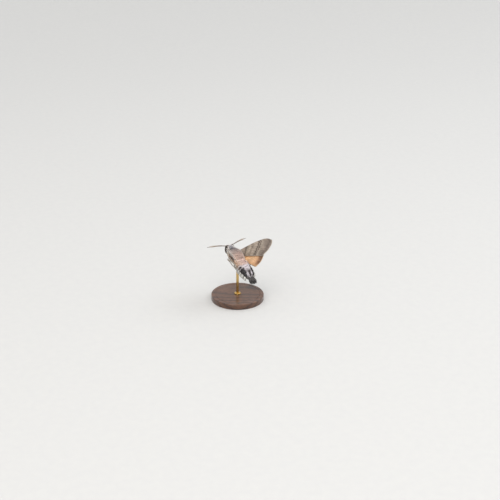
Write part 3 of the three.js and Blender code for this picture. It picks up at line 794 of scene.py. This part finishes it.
def makeAntenna(name, side, material):
    form = antennaForm
    t = np.linspace(0, 1, form["rings"] * 4 + 1)
    path = np.array(form["root"]) + unit(np.array(form["toward"])) * (form["length"] * t)[:, None]
    path[:, 2] += form["rise"] * np.sin(math.pi * np.minimum(1, t * form["pace"]))
    path[:, 2] += form["arch"] * bell(t - form["archAt"], form["archWide"])
    path += unit(np.array(form["hookWay"])) * (form["hook"] * np.maximum(0, t - form["hookFrom"]) ** 2)[:, None]
    path[:, 0] *= side
    at = form["clubAt"]
    toClub = np.where(t < at, t / at, 1 - ((t - at) / (1 - at)) ** 2)
    radii = form["base"] * np.where(t < at, 1, np.maximum(form["tip"], toClub))
    radii += (form["club"] - form["base"]) * toClub**2
    radii *= 1 + form["foot"] * smoothStep(*form["footEnd"], t)  # the stout first joint
    radii *= 1 - form["waist"] * (0.5 + 0.5 * np.cos(2 * math.pi * form["rings"] * t)) ** 3
    settle(tubeMesh("ringed_" + name, path, radii, form["sides"]), [material], [name])


tongueForm = {
    "root": (0, 7.7, -1.2), "neck": (0, 9.1, -1.75), "coil": (8.35, -3.9), "start": 0.36 * math.pi, "outer": 1.9,
    "inner": 0.3, "turns": 2.9, "radius": 0.21, "tip": 0.55, "rings": 210, "sides": 12, "coilPlaces": 80, "places": 460,
}


def makeTongue(material):
    form = tongueForm
    steps = np.linspace(0, 1, form["coilPlaces"])
    angle = form["start"] - 2 * math.pi * form["turns"] * steps
    radius = form["outer"] + (form["inner"] - form["outer"]) * steps
    y, z = form["coil"]
    coil = np.stack([0 * steps, y + radius * np.cos(angle), z + radius * np.sin(angle)], 1)
    path = smoothCurve([form["root"], form["neck"], *coil], form["places"])
    radii = form["radius"] * np.linspace(1, form["tip"], len(path))
    settle(tubeMesh("coiled_tongue", path, radii, form["sides"]), [material], ["proboscis"])


antennaChitin = hornMaterial(
    "scaled chitin of the feelers",
    [(0, "#4a3a31"), (0.35, "#5d4a3e"), (0.62, "#8d7f72"), (0.82, "#a89d92"), (1, "#3a2d26")],
    0.55, antennaForm["rings"],
)
tongueChitin = hornMaterial(
    "waxy chitin of the tongue", [(0, "#3d2a1e"), (0.6, "#4b3526"), (1, "#2c1f17")], 0.35, tongueForm["rings"]
)
for sideName, side in bothSides:
    makeAntenna("antenna_" + sideName, side, antennaChitin)
makeTongue(tongueChitin)
print("eyes, feelers and tongue made")


# Legs, folded under the body: thigh, shin and jointed foot, with spurs and short scales
legForms = {  # joints are x, y and how far below the body; spurs are the place along the leg, and length
    "front": {
        "hip": (1.0, 3.2), "joints": [(1.7, 4.1, 0.75), (2.4, 4.8, 0.7), (1.75, 2.3, 0.75), (0.75, -0.4, 0.72)],
        "scale": 0.92, "spurs": [],
    },
    "mid": {
        "hip": (1.5, 0.9), "joints": [(2.6, 1.3, 0.72), (3.5, 1.4, 0.66), (2.75, -2.7, 0.75), (2.35, -6.6, 0.95)],
        "scale": 0.96, "spurs": [(0.61, 1.15)],
    },
    "hind": {
        "hip": (1.3, -2.4), "joints": [(1.75, -3.2, 0.8), (1.6, -5.2, 1.1), (1.2, -9.2, 0.85), (0.75, -13.6, 0.72)],
        "scale": 1, "spurs": [(0.47, 1.0), (0.62, 1.2)],
    },
}
legFinish = {
    "sides": 12, "places": 90, "hipDepth": 1.1, "undersides": ((2.1, 2.7), (2.3, 2.15)),
    "thick": [(0, 0.4), (0.2, 0.36), (0.42, 0.24), (0.62, 0.25), (0.7, 0.16), (1, 0.11)],
    "foot": (0.66, 0.7), "footAt": 0.68, "footJoint": 0.064, "footWaist": 0.22,
}
legScales = {
    "count": 1100, "reach": (0.12, 0.98), "at": [0, 0.4, 0.7, 1], "length": [0.5, 0.42, 0.26, 0.18],
    "lengths": (0.75, 1.15), "width": 0.11, "thick": 0.03, "lift": 11, "curl": 14, "sunk": 0.02, "root": 0.92,
}
legSpurs = {
    "curl": -8, "second": 0.78, "claw": (0.985, 0.34, 70, 1), "down": 0.55, "root": 0.75, "lift": 26, "sunk": 0.03,
    "width": (0.03, 0.09), "thick": (0.03, 0.07), "stations": [(0, 1), (0.35, 0.85), (0.7, 0.55)],
}


def undersideAt(x, y):
    # The lowest level of the solids' thorax or abdomen there, whose ends follow these powers
    lowest = 9.0
    for form, powers in zip(bodyForms[:2], legFinish["undersides"]):
        reach, power = (form["front"], powers[0]) if y >= form["centre"] else (form["rear"], powers[1])
        share = math.sqrt(max(0, 1 - (abs(y - form["centre"]) / reach) ** power))
        out = abs(x) / (form["half"] * share) if share > 0 else 2
        lowest = min(lowest, form["height"] - (form["down"] * share * math.sqrt(1 - out * out) if out < 1 else 0))
    return lowest


def makeLeg(name, side, form, materials):
    hipX, hipY = form["hip"]
    joints = [(hipX, hipY, undersideAt(hipX, hipY) + legFinish["hipDepth"])]
    joints += [(x, y, undersideAt(x, y) - below) for x, y, below in form["joints"]]
    path = smoothCurve(joints, legFinish["places"]) * np.array([side, 1, 1])
    t = np.linspace(0, 1, len(path))
    radii = form["scale"] * np.interp(t, *zip(*legFinish["thick"]))
    turns = (t - legFinish["footAt"]) / legFinish["footJoint"]
    waists = np.abs(np.sin(math.pi * turns)) ** 6  # between the five joints of the foot
    radii *= 1 - legFinish["footWaist"] * smoothStep(*legFinish["foot"], t) * waists
    settle(tubeMesh("jointed_" + name, path, radii, legFinish["sides"]), materials[:1], [name])
    settle(makeLegScales(name, path, radii), materials[1:2])
    settle(makeSpurs(name, path, radii, form["spurs"]), materials[2:])


def makeLegScales(name, path, radii):
    form, count = legScales, legScales["count"]
    pick = dice.uniform(*form["reach"], count)
    index = np.clip((pick * (len(path) - 1)).astype(int), 1, len(path) - 2)
    way = unit(path[index + 1] - path[index - 1])
    spin = unit(np.cross(way, dice.normal(0, 1, (count, 3))))
    at = path[index] + spin * radii[index][:, None] * form["root"]
    length = np.interp(pick, form["at"], form["length"]) * dice.uniform(*form["lengths"], count)
    around = np.arctan2(spin[:, 0], spin[:, 2]) / math.pi
    uv = np.stack([0.5 + 0.47 * around, 0.02 + 0.96 * pick], 1)
    places = np.stack([pick, np.full(count, 0.5)], 1)
    return growTufts("scales_" + name, at, spin, way, {**form, "length": length}, uv, places)


def makeSpurs(name, path, radii, spurs):
    # A pair of straight spurs at each place on the shin, and two hooked claws at the foot's end
    form = legSpurs
    way = unit(np.gradient(path, axis=0))
    at, spins, ways, lengths, curls = [], [], [], [], []
    pairs = [(share, length, form["curl"], form["second"]) for share, length in spurs] + [form["claw"]]
    for share, length, curl, second in pairs:
        place = int(share * (len(path) - 1))
        flat = unit(np.cross(way[place], [0.0, 0.0, 1.0]))
        for turn, reach in ((-1, 1), (1, second)):
            spins.append(unit(turn * flat - np.array([0, 0, form["down"]])))
            at.append(path[place] + spins[-1] * radii[place] * form["root"])
            ways.append(way[place])
            lengths.append(length * reach)
            curls.append(curl)
    lengths = np.array(lengths)
    shape = {**form, "length": lengths, "curl": curls}
    for key in ("width", "thick"):
        shape[key] = form[key][0] + form[key][1] * lengths
    places = np.full((len(at), 2), 0.5)
    return growTufts("spurs_" + name, np.array(at), np.array(spins), np.array(ways), shape, places, places)


def legMaterial():
    # Chitin under a bloom of short scales
    material, add = newMaterial("scaled chitin of the legs", {"Roughness": 0.6, "IOR": 1.55})
    along = add("SeparateXYZ", [add("UVMap", uv_map="tubeMap")], "Y")
    stops = [(0, "#cfc6ba"), (0.4, "#c0b5a8"), (0.7, "#a3968a"), (1, "#7d7066")]
    colour = add("ValToRGB", [along], stops=stops)
    place = add("TexCoord", out="Object")
    noise = add("TexNoise", {"Vector": place, "Scale": 5000.0, "Detail": 3.0})
    speckle = add("ValToRGB", [noise], stops=[(0.35, "#dadada"), (0.65, "#ffffff")])
    colour = add("Mix", {0: 1.0, 6: colour, 7: speckle}, **colourProduct)
    linkSurface(material, colour, noise, 0.4, 0.00004)
    return material


legMaterials = [
    legMaterial(), plainScaleMaterial("pale leg scales", "#bdb3a6", "#ddd5c9"),
    plainScaleMaterial("brown chitin of spurs and claws", "#6b5646", "#3a2b22", 0.4),
]
for sideName, side in bothSides:
    for place, form in legForms.items():
        makeLeg(f"leg_{place}_{sideName}", side, form, legMaterials)
print("legs made")


# Wings: thin scaled sheets with raised veins, on the same outlines as the solids
wingPose = {"lift": 54.5, "rootX": 3, "rootZ": 1.5}
foreWing = {
    "slot": "forewing_scales", "rootY": 0.9, "layer": 0.2, "sweep": 24, "camber": 0.45, "droop": 0.35, "fringe": 0.5,
    "leading": [(-1.6, 0.9), (5, 1.5), (12, 1.75), (17.4, 1.05), (20, -0.7)],
    "outer": [(20, -0.7), (19.5, -2.6), (16.9, -5.1), (12.8, -7)],
    "trailing": [(-1.6, -1.7), (5.6, -4.2), (12.8, -7)],
    "veins": [
        [(0.05, 0), (0.04, 0.5), (0.004, 0.8)], [(0.16, 0), (0.15, 0.5), (0.07, 0.8), (0.03, 0.99)],
        [(0.15, 0.5), (0.12, 0.75), (0.1, 1)], [(0.17, 0.5), (0.17, 0.75), (0.18, 1)], [(0.42, 0), (0.43, 0.52)],
        [(0.15, 0.5), (0.24, 0.47), (0.34, 0.48), (0.43, 0.52)], [(0.22, 0.475), (0.28, 0.75), (0.3, 1)],
        [(0.33, 0.48), (0.41, 0.75), (0.44, 1)], [(0.43, 0.52), (0.52, 0.75), (0.57, 1)],
        [(0.43, 0.45), (0.62, 0.75), (0.7, 1)], [(0.43, 0.34), (0.72, 0.7), (0.84, 1)],
        [(0.78, 0), (0.85, 0.5), (0.94, 1)],
    ],
}
hindWing = {
    "slot": "hindwing_scales", "rootY": -2.1, "layer": -0.9, "sweep": 21, "camber": 0.4, "droop": 0.2, "fringe": 0.55,
    "leading": [(-1.8, 1.1), (4, 1.7), (9, 1.1), (11.8, -1.4)],
    "outer": [(11.8, -1.4), (11.4, -4), (8.9, -6.9), (5.2, -8.4)],
    "trailing": [(-1.8, -2.4), (1.9, -5.2), (5.2, -8.4)],
    "veins": [
        [(0.1, 0), (0.08, 0.6), (0.04, 0.99)], [(0.2, 0), (0.2, 0.45), (0.2, 1)], [(0.45, 0), (0.47, 0.45)],
        [(0.2, 0.45), (0.33, 0.42), (0.47, 0.45)], [(0.3, 0.43), (0.38, 0.75), (0.4, 1)],
        [(0.47, 0.45), (0.58, 0.75), (0.6, 1)], [(0.46, 0.3), (0.7, 0.7), (0.8, 1)],
        [(0.75, 0), (0.86, 0.5), (0.93, 1)],
    ],
}
wingSheet = {
    "half": 0.075, "edge": 0.04, "rims": (0.05, 0.04, 0.03), "costa": 0.17, "costaWide": 0.03, "costaFade": 0.8,
    "vein": 0.055, "veinWide": 0.11, "veinFade": 0.55, "across": 96, "out": 120,
}
wingFringe = {
    "outer": 620, "hind": 260, "hindFrom": 0.3, "hindShare": 0.9, "lengths": (0.75, 1.1), "width": 0.13,
    "thick": 0.035, "lift": 0, "curl": 3, "sunk": 0, "sway": 0.08, "inside": 0.12, "step": (0.04, 0.03),
}


def wingPatch(wing, u, v, grain=241):
    # A place between the edges: u from the leading edge back, v from the straight root out
    def pick(edge, share):
        curve = smoothCurve(wing[edge], grain)
        return np.stack([np.interp(share, np.linspace(0, 1, grain), curve[:, k]) for k in range(2)], -1)

    back, out = u[..., None], v[..., None]
    tip, heel = np.array(wing["outer"], float)[[0, -1]]
    bulge = pick("outer", u) - tip - (heel - tip) * back
    return pick("leading", v) * (1 - back) + pick("trailing", v) * back + bulge * out


def wingAxes(side, wing):
    # The root's place, and the ways outward, forward and up out of the upper side
    lift, sweep = math.radians(wingPose["lift"]), math.radians(wing["sweep"])
    out = np.array([side * math.cos(lift), 0, math.sin(lift)])
    forward = np.array([0.0, 1.0, 0.0])
    up = np.array([-side * math.sin(lift), 0, math.cos(lift)])
    root = np.array([side * wingPose["rootX"], wing["rootY"], wingPose["rootZ"]])
    swept = out * math.cos(sweep) - forward * math.sin(sweep), forward * math.cos(sweep) + out * math.sin(sweep)
    return root, *swept, up


def wingLevel(wing, u, v, flat):
    reach = np.maximum(0, flat[..., 0] / wing["outer"][0][0])
    arch = wing["camber"] * np.sin(math.pi * u) * np.sin(math.pi * np.minimum(1, 0.9 * v))
    return wing["layer"] + arch - wing["droop"] * reach**2


def veinHeight(wing, flat, grain=41):
    # 1 on a vein, falling to 0 beside it
    nearest = np.full(flat.shape[:-1], 9.0)
    for vein in wing["veins"]:
        line = smoothCurve(vein, grain) if len(vein) > 2 else np.linspace(vein[0], vein[1], grain)
        line = wingPatch(wing, line[:, 0], line[:, 1])
        for a, b in zip(line, line[1:]):
            along = b - a
            t = np.clip(((flat - a) @ along) / max(along @ along, 1e-9), 0, 1)
            nearest = np.minimum(nearest, np.linalg.norm(flat - a - t[..., None] * along, axis=-1))
    return bell(nearest, wingSheet["veinWide"])


def makeWing(name, side, wing, materials):
    form = wingSheet
    u, v = np.meshgrid(np.linspace(0, 1, form["across"] + 1), np.linspace(0, 1, form["out"] + 1))
    flat = wingPatch(wing, u, v)
    level = wingLevel(wing, u, v, flat)
    veins = veinHeight(wing, flat)
    rim = math.prod(smoothStep(0, wide, share) for wide, share in zip(form["rims"], (u, 1 - u, 1 - v)))
    half = form["edge"] + (form["half"] - form["edge"]) * rim
    half += form["vein"] * veins * (1 - form["veinFade"] * v)
    half += form["costa"] * bell(u, form["costaWide"]) * (1 - form["costaFade"] * v)
    root, outward, forward, up = wingAxes(side, wing)
    sheet = root + flat[..., :1] * outward + flat[..., 1:] * forward
    points = np.vstack([(sheet + (level + sign * half)[..., None] * up).reshape(-1, 3) for sign in (1, -1)])
    grid = np.arange(u.size).reshape(u.shape)
    top = np.stack([grid[:-1, :-1], grid[:-1, 1:], grid[1:, 1:], grid[1:, :-1]], -1).reshape(-1, 4)
    around = np.concatenate([grid[0], grid[1:, -1], grid[-1, -2::-1], grid[-2:0:-1, 0]])
    after = np.roll(around, -1)
    walls = np.stack([after, around, around + u.size, after + u.size], 1)
    faces = np.vstack([top, top[:, ::-1] + u.size, walls])[:, ::-side]  # turned over on the right
    piece = meshPiece("scaled_" + name, points, faces.tolist())
    setUv(piece, "wingMap", np.tile(np.stack([u.ravel(), v.ravel()], 1), (2, 1)))
    setAttribute(piece, "vein", np.tile(veins.ravel(), 2))
    settle(piece, materials[:2], [name])
    kinds = np.zeros(len(faces), int)
    kinds[len(top):2 * len(top)] = 1  # the underside
    piece.data.polygons.foreach_set("material_index", kinds)
    settle(makeFringe(name, wing, root, outward, forward, up), materials[2:])


def makeFringe(name, wing, root, outward, forward, up):
    # Scales along the outer and hind edges, half of them turned over
    form = wingFringe
    outer = dice.uniform(0, 1, form["outer"])
    hind = dice.uniform(form["hindFrom"], 1, form["hind"])
    u, v = np.concatenate([outer, np.ones(len(hind))]), np.concatenate([np.ones(len(outer)), hind])
    edge = wingPatch(wing, u, v)
    inside = wingPatch(wing, u - form["step"][0] * (v < 1), v - form["step"][1] * (v >= 1))
    away = unit(edge - inside) + dice.normal(0, form["sway"], edge.shape)
    flow = away[:, :1] * outward + away[:, 1:] * forward
    at = root + edge[:, :1] * outward + edge[:, 1:] * forward + wingLevel(wing, u, v, edge)[:, None] * up
    at = at - unit(flow) * form["inside"]
    normal = np.tile(up, (len(at), 1)) * np.where(dice.random(len(at)) < 0.5, -1, 1)[:, None]
    length = wing["fringe"] * np.where(np.arange(len(at)) < len(outer), 1, form["hindShare"])
    shape = {**form, "length": length * dice.uniform(*form["lengths"], len(at))}
    uv = 0.02 + 0.96 * np.stack([u, v], 1)
    return growTufts("fringe_" + name, at, normal, flow, shape, uv, np.stack([v, u], 1))


scalesPerMm = 5.5  # on the wings; really 10, too fine to show


def wingMaterial(name, stops, wobble, vein, veinShare, dot=None, base=None):
    # Dull scales like roof tiles on a clear sheet; the bands follow the wing's own map
    material, add = newMaterial(name, {
        "Roughness": 0.68, "IOR": 1.5, "Sheen Weight": 0.25, "Sheen Roughness": 0.4, "Specular IOR Level": 0.3,
    })
    uv = add("UVMap", uv_map="wingMap")
    back, out = (add("SeparateXYZ", [uv], axis) for axis in "XY")
    waves = add("TexNoise", {"Vector": uv, "Scale": 7.0, "Detail": 2.0})
    scallops = add("Math", [add("Math", [back, 38.0], operation="MULTIPLY")], operation="SINE")
    out = add("Math", [scallops, wobble * 0.35, out], operation="MULTIPLY_ADD")
    colour = add("ValToRGB", [ruffled(add, out, waves, wobble * 3)], stops=stops)
    place = add("TexCoord", out="Object")
    for mottle in (
        ({"Vector": place, "Scale": 4200.0, "Detail": 2.0, "Roughness": 0.7}, [(0.3, "#dcdcdc"), (0.62, "#ffffff")]),
        ({"Vector": place, "Scale": 420.0, "Detail": 2.0}, [(0.35, "#dedede"), (0.65, "#ffffff")]),
    ):
        shade = add("ValToRGB", [add("TexNoise", mottle[0])], stops=mottle[1])
        colour = add("Mix", {0: 1.0, 6: colour, 7: shade}, **colourProduct)
    if base:
        share = add("MapRange", [back, 0.75, 1, 0, 0.75], **softRange)
        colour = add("Mix", {0: share, 6: colour, 7: toLinear(base)}, **colourMix)
    if dot:
        far = add("VectorMath", {0: uv, 1: (*dot, 0)}, "Value", operation="DISTANCE")
        share = add("MapRange", [far, 0.03, 0.018], **softRange)
        colour = add("Mix", {0: share, 6: colour, 7: toLinear("#241c17")}, **colourMix)
    onVein = add("Attribute", out="Fac", attribute_name="vein")
    share = add("Math", [onVein, veinShare], operation="MULTIPLY")
    colour = add("Mix", {0: share, 6: colour, 7: toLinear(vein)}, **colourMix)
    tiles = add("TexVoronoi", {"Vector": place, "Scale": 1000 * scalesPerMm})
    linkSurface(material, colour, tiles, 0.35, 0.00004)
    return material


# Colours from the root out, how wavy their bands are, the veins' colour and share, and the upper side's own mark
foreMaterials = [
    wingMaterial("grey brown forewing scales", [
        (0, "#887868"), (0.16, "#a09285"), (0.24, "#908175"), (0.27, "#483e37"), (0.295, "#998c7d"), (0.4, "#afa294"),
        (0.46, "#87796c"), (0.48, "#a39689"), (0.6, "#b2a597"), (0.645, "#544941"), (0.67, "#a09386"),
        (0.7, "#5e5249"), (0.725, "#aca093"), (0.86, "#92857a"), (0.93, "#746860"), (1, "#8e8379"),
    ], 0.035, "#64564b", 0.5, dot=(0.29, 0.455)),
    wingMaterial("rusty forewing underside scales", [
        (0, "#c08a44"), (0.25, "#b07538"), (0.6, "#8a5630"), (0.85, "#6e4a31"), (1, "#5c4434"),
    ], 0.02, "#5a3a24", 0.3),
    plainScaleMaterial("grey forewing fringe scales", "#7c7065", "#d5cdbf"),
]
hindMaterials = [
    wingMaterial("tawny orange hindwing scales", [
        (0, "#866855"), (0.1, "#c99c6e"), (0.24, "#e9bb8b"), (0.62, "#ecc298"), (0.8, "#d5aa84"), (0.9, "#9b7459"),
        (1, "#785c4b"),
    ], 0.03, "#b07c4e", 0.45, base="#c79d74"),
    wingMaterial("ochre hindwing underside scales", [
        (0, "#d3ad62"), (0.35, "#c98f46"), (0.75, "#a5662f"), (0.92, "#7a4d30"), (1, "#64452f"),
    ], 0.02, "#7a4d28", 0.3),
    plainScaleMaterial("tawny hindwing fringe scales", "#94704f", "#e2c4a0"),
]
for sideName, side in bothSides:
    makeWing("forewing_" + sideName, side, foreWing, foreMaterials)
    makeWing("hindwing_" + sideName, side, hindWing, hindMaterials)
print("wings made")


# Stand: a turned and varnished walnut disc, a brass collar and one brass rod
standForm = {
    "radius": 14, "height": 3, "rim": 0.5, "foot": 0.18, "grooveAt": 12.2, "rod": 0.7, "rodFoot": 1.7, "rodTop": 20.6,
    "rodEdge": 0.12, "collar": 1.75, "collarRise": 0.55, "collarSunk": 0.02, "collarEdge": 0.07,
}
woodGrain = {"ring": 2.2, "pith": (0.0, 7.0, -15.0), "turn": (0.0, 0.07, 0.5)}  # mm, and radians off the board's run


def woodMaterial():
    # Flat sawn walnut: growth rings run through the board as arches, with short dark pores, under a satin varnish
    material, add = newMaterial("varnished walnut", {
        "Roughness": 0.42, "IOR": 1.5, "Coat Weight": 0.5, "Coat Roughness": 0.18,
    })
    board = add("Mapping", {
        "Vector": add("TexCoord", out="Object"), "Scale": (1000.0, 1000.0, 1000.0),
        "Rotation": woodGrain["turn"], "Location": [-along for along in woodGrain["pith"]],
    })
    rings = add("TexWave", {
        "Vector": board, "Scale": math.pi / 10 / woodGrain["ring"], "Distortion": 2.2, "Detail": 2.0,
        "Detail Scale": 0.5,
    }, "Fac", wave_type="RINGS", rings_direction="X", wave_profile="SAW")
    streaks = add("Mapping", {"Vector": board, "Scale": (0.3, 5.0, 5.0)})
    pores = add("TexNoise", {"Vector": streaks, "Scale": 1.0, "Detail": 3.0, "Roughness": 0.65})
    stops = [(0, "#5b3a26"), (0.45, "#674430"), (0.8, "#503122"), (0.95, "#38211a"), (1, "#54351f")]
    colour = add("ValToRGB", [rings], stops=stops)
    shade = add("ValToRGB", [pores], stops=[(0.36, "#8c8c8c"), (0.56, "#ffffff")])
    colour = add("Mix", {0: 1.0, 6: colour, 7: shade}, **colourProduct)
    linkSurface(material, colour, pores, 0.12, 0.00005)
    return material


def brassMaterial():
    # Brass drawn and polished by hand: fine lengthwise lines and a warm, slightly dulled shine
    material, add = newMaterial("hand polished brass", {"Metallic": 1.0})
    place = add("TexCoord", out="Object")
    lines = add("Mapping", {"Vector": place, "Scale": (9000.0, 9000.0, 260.0)})
    grain = add("TexNoise", {"Vector": lines, "Scale": 1.0, "Detail": 3.0})
    cloud = add("TexNoise", {"Vector": place, "Scale": 300.0, "Detail": 2.0})  # hand marks, 3 mm across
    colour = add("ValToRGB", [cloud], stops=[(0.3, "#c09d5c"), (0.7, "#cfb073")])
    linkSurface(material, colour, roughness=add("MapRange", [grain, 0.2, 0.8, 0.2, 0.3], **softRange))
    return material


def addRound(name, sides, radius, low, high):
    bpy.ops.mesh.primitive_cylinder_add(
        vertices=sides, radius=radius, depth=high - low, location=(0, 0, (low + high) / 2)
    )
    piece = bpy.context.object
    piece.name = name
    bpy.ops.object.transform_apply(location=True, rotation=True, scale=True)
    return piece


def bevelAt(piece, levels, offset, segments, profile=0.5):
    # Rounds the edges that lie level at any of these heights
    def onLevel(edge):
        heights = [piece.data.vertices[k].co.z for k in edge.vertices]
        return any(all(abs(height - level) < 1e-3 for height in heights) for level in levels)

    pickParts(piece, "EDGE", onLevel)
    bpy.ops.mesh.bevel(offset=offset, segments=segments, profile=profile)


def settleTurned(piece, material, nodes=()):
    bpy.ops.object.mode_set(mode="OBJECT")
    bpy.ops.object.shade_smooth_by_angle(angle=math.radians(35))
    settle(piece, [material], nodes, standToRow)


def makeStandBase(material):
    form = standForm
    disc = addRound("turned_base", 160, form["radius"], 0, form["height"])
    bevelAt(disc, [form["height"]], form["rim"], 5, 0.6)
    bevelAt(disc, [0], form["foot"], 2)
    # A shallow turned line near the rim: insets of the top face, the middle ones pressed down
    pickParts(disc, "FACE", lambda face: face.normal.z > 0.99 and len(face.vertices) > 8)
    toGroove = form["radius"] - form["rim"] - form["grooveAt"]
    for inset, rise in ((toGroove, 0), (0.12, -0.14), (0.22, 0), (0.12, 0.14), (8.6, 0)):
        bpy.ops.mesh.inset(thickness=inset, depth=rise)
    bpy.ops.mesh.poke()
    settleTurned(disc, material, ["stand_base"])


def makeRod(material):
    form = standForm
    rod = addRound("drawn_rod", 40, form["rod"], form["rodFoot"], form["rodTop"])
    bevelAt(rod, [form["rodFoot"], form["rodTop"]], form["rodEdge"], 2)
    settleTurned(rod, material, ["stand_rod"])


def makeRodCollar(material):
    form = standForm
    low = form["height"] - form["collarSunk"]
    top = low + form["collarRise"]
    collar = addRound("brass_collar", 64, form["collar"], low, top)
    pickParts(collar, "FACE", lambda face: face.normal.z > 0.99)
    bpy.ops.mesh.inset(thickness=0.35, depth=0.12)
    bpy.ops.mesh.inset(thickness=0.45, depth=0.1)
    bevelAt(collar, [top, top + 0.12], form["collarEdge"], 2)
    settleTurned(collar, material)


bpy.ops.object.select_all(action="DESELECT")
walnut, brass = woodMaterial(), brassMaterial()
makeStandBase(walnut)
makeRod(brass)
makeRodCollar(brass)
print("stand made")


# Floor, light and camera
studio = {
    "floor": ("#c0c0be", "#bababa"), "half": 2.8, "flat": 0.5, "rise": 0.24, "sky": "#eeeeee", "skyStrength": 1.35,
    "aim": (0, 0, 0.025),
    "key light": {"at": (-0.42, -0.55, 1.0), "size": 0.9, "power": 8.8, "colour": "#fffaf4"},
    "fill light": {"at": (0.7, -0.35, 0.8), "size": 0.7, "power": 4.4, "colour": "#f1f4f8"},
}
photoView = {
    "azimuth": -32, "elevation": 24, "lens": 85, "sensor": 36, "pixels": 500,
    "pixelsPerMm": 1.9, "bodyAt": (241.2, 264), "bodyMiddle": (0, -5.85, 0),
}


def makeFloor():
    # A level floor that sweeps up far from the moth, so no horizon shows
    bpy.ops.mesh.primitive_grid_add(x_subdivisions=96, y_subdivisions=96, size=2 * studio["half"])
    floor = bpy.context.object
    floor.name = "studio_floor"
    for vertex in floor.data.vertices:
        vertex.co.z = studio["rise"] * max(0, math.hypot(vertex.co.x, vertex.co.y) - studio["flat"]) ** 2
    bpy.ops.object.shade_smooth()
    material, add = newMaterial("matt painted board", {"Roughness": 0.85})
    place = add("TexCoord", out="Object")
    noise = add("TexNoise", {"Vector": place, "Scale": 260.0, "Detail": 3.0})
    pale, dull = (toLinear(code) for code in studio["floor"])
    linkSurface(material, add("Mix", {0: noise, 6: pale, 7: dull}, **colourMix))
    floor.data.materials.append(material)


def makeLight(name):
    form = studio[name]
    bpy.ops.object.light_add(type="AREA", location=form["at"])
    lamp = bpy.context.object
    lamp.name = name
    lamp.data.size = form["size"]
    lamp.data.energy = form["power"]
    lamp.data.color = toLinear(form["colour"])[:3]
    lamp.rotation_euler = (Vector(studio["aim"]) - lamp.location).to_track_quat("-Z", "Y").to_euler()


def makeSky():
    world = bpy.data.worlds.new("studio air")
    world.use_nodes = True
    air = world.node_tree.nodes["Background"].inputs
    air["Color"].default_value = toLinear(studio["sky"])
    air["Strength"].default_value = studio["skyStrength"]
    bpy.context.scene.world = world
    bpy.context.scene.view_settings.view_transform = "Standard"


def makeCamera():
    turn, rise = math.radians(photoView["azimuth"]), math.radians(photoView["elevation"])
    back = Vector((math.sin(turn) * math.cos(rise), -math.cos(turn) * math.cos(rise), math.sin(rise)))
    focus = photoView["lens"] / photoView["sensor"] * photoView["pixels"]  # in pixels
    middle = mothToRow @ Vector(photoView["bodyMiddle"])
    camera = bpy.data.objects.new("camera", bpy.data.cameras.new("camera"))
    bpy.context.collection.objects.link(camera)
    camera.data.lens, camera.data.sensor_width = photoView["lens"], photoView["sensor"]
    camera.data.clip_start, camera.data.clip_end = 0.01, 50
    camera.location = middle + back * focus / photoView["pixelsPerMm"] / 1000
    # The ray through the body's pixel has to meet the body
    x, y = (place - photoView["pixels"] / 2 for place in photoView["bodyAt"])
    ray = Vector((x, -y, -focus)).normalized()
    camera.rotation_mode = "QUATERNION"
    camera.rotation_quaternion = (-back).to_track_quat("-Z", "Y") @ ray.rotation_difference(Vector((0, 0, -1)))
    bpy.context.scene.camera = camera


makeFloor()
makeLight("key light")
makeLight("fill light")
makeSky()
makeCamera()
print("studio set")
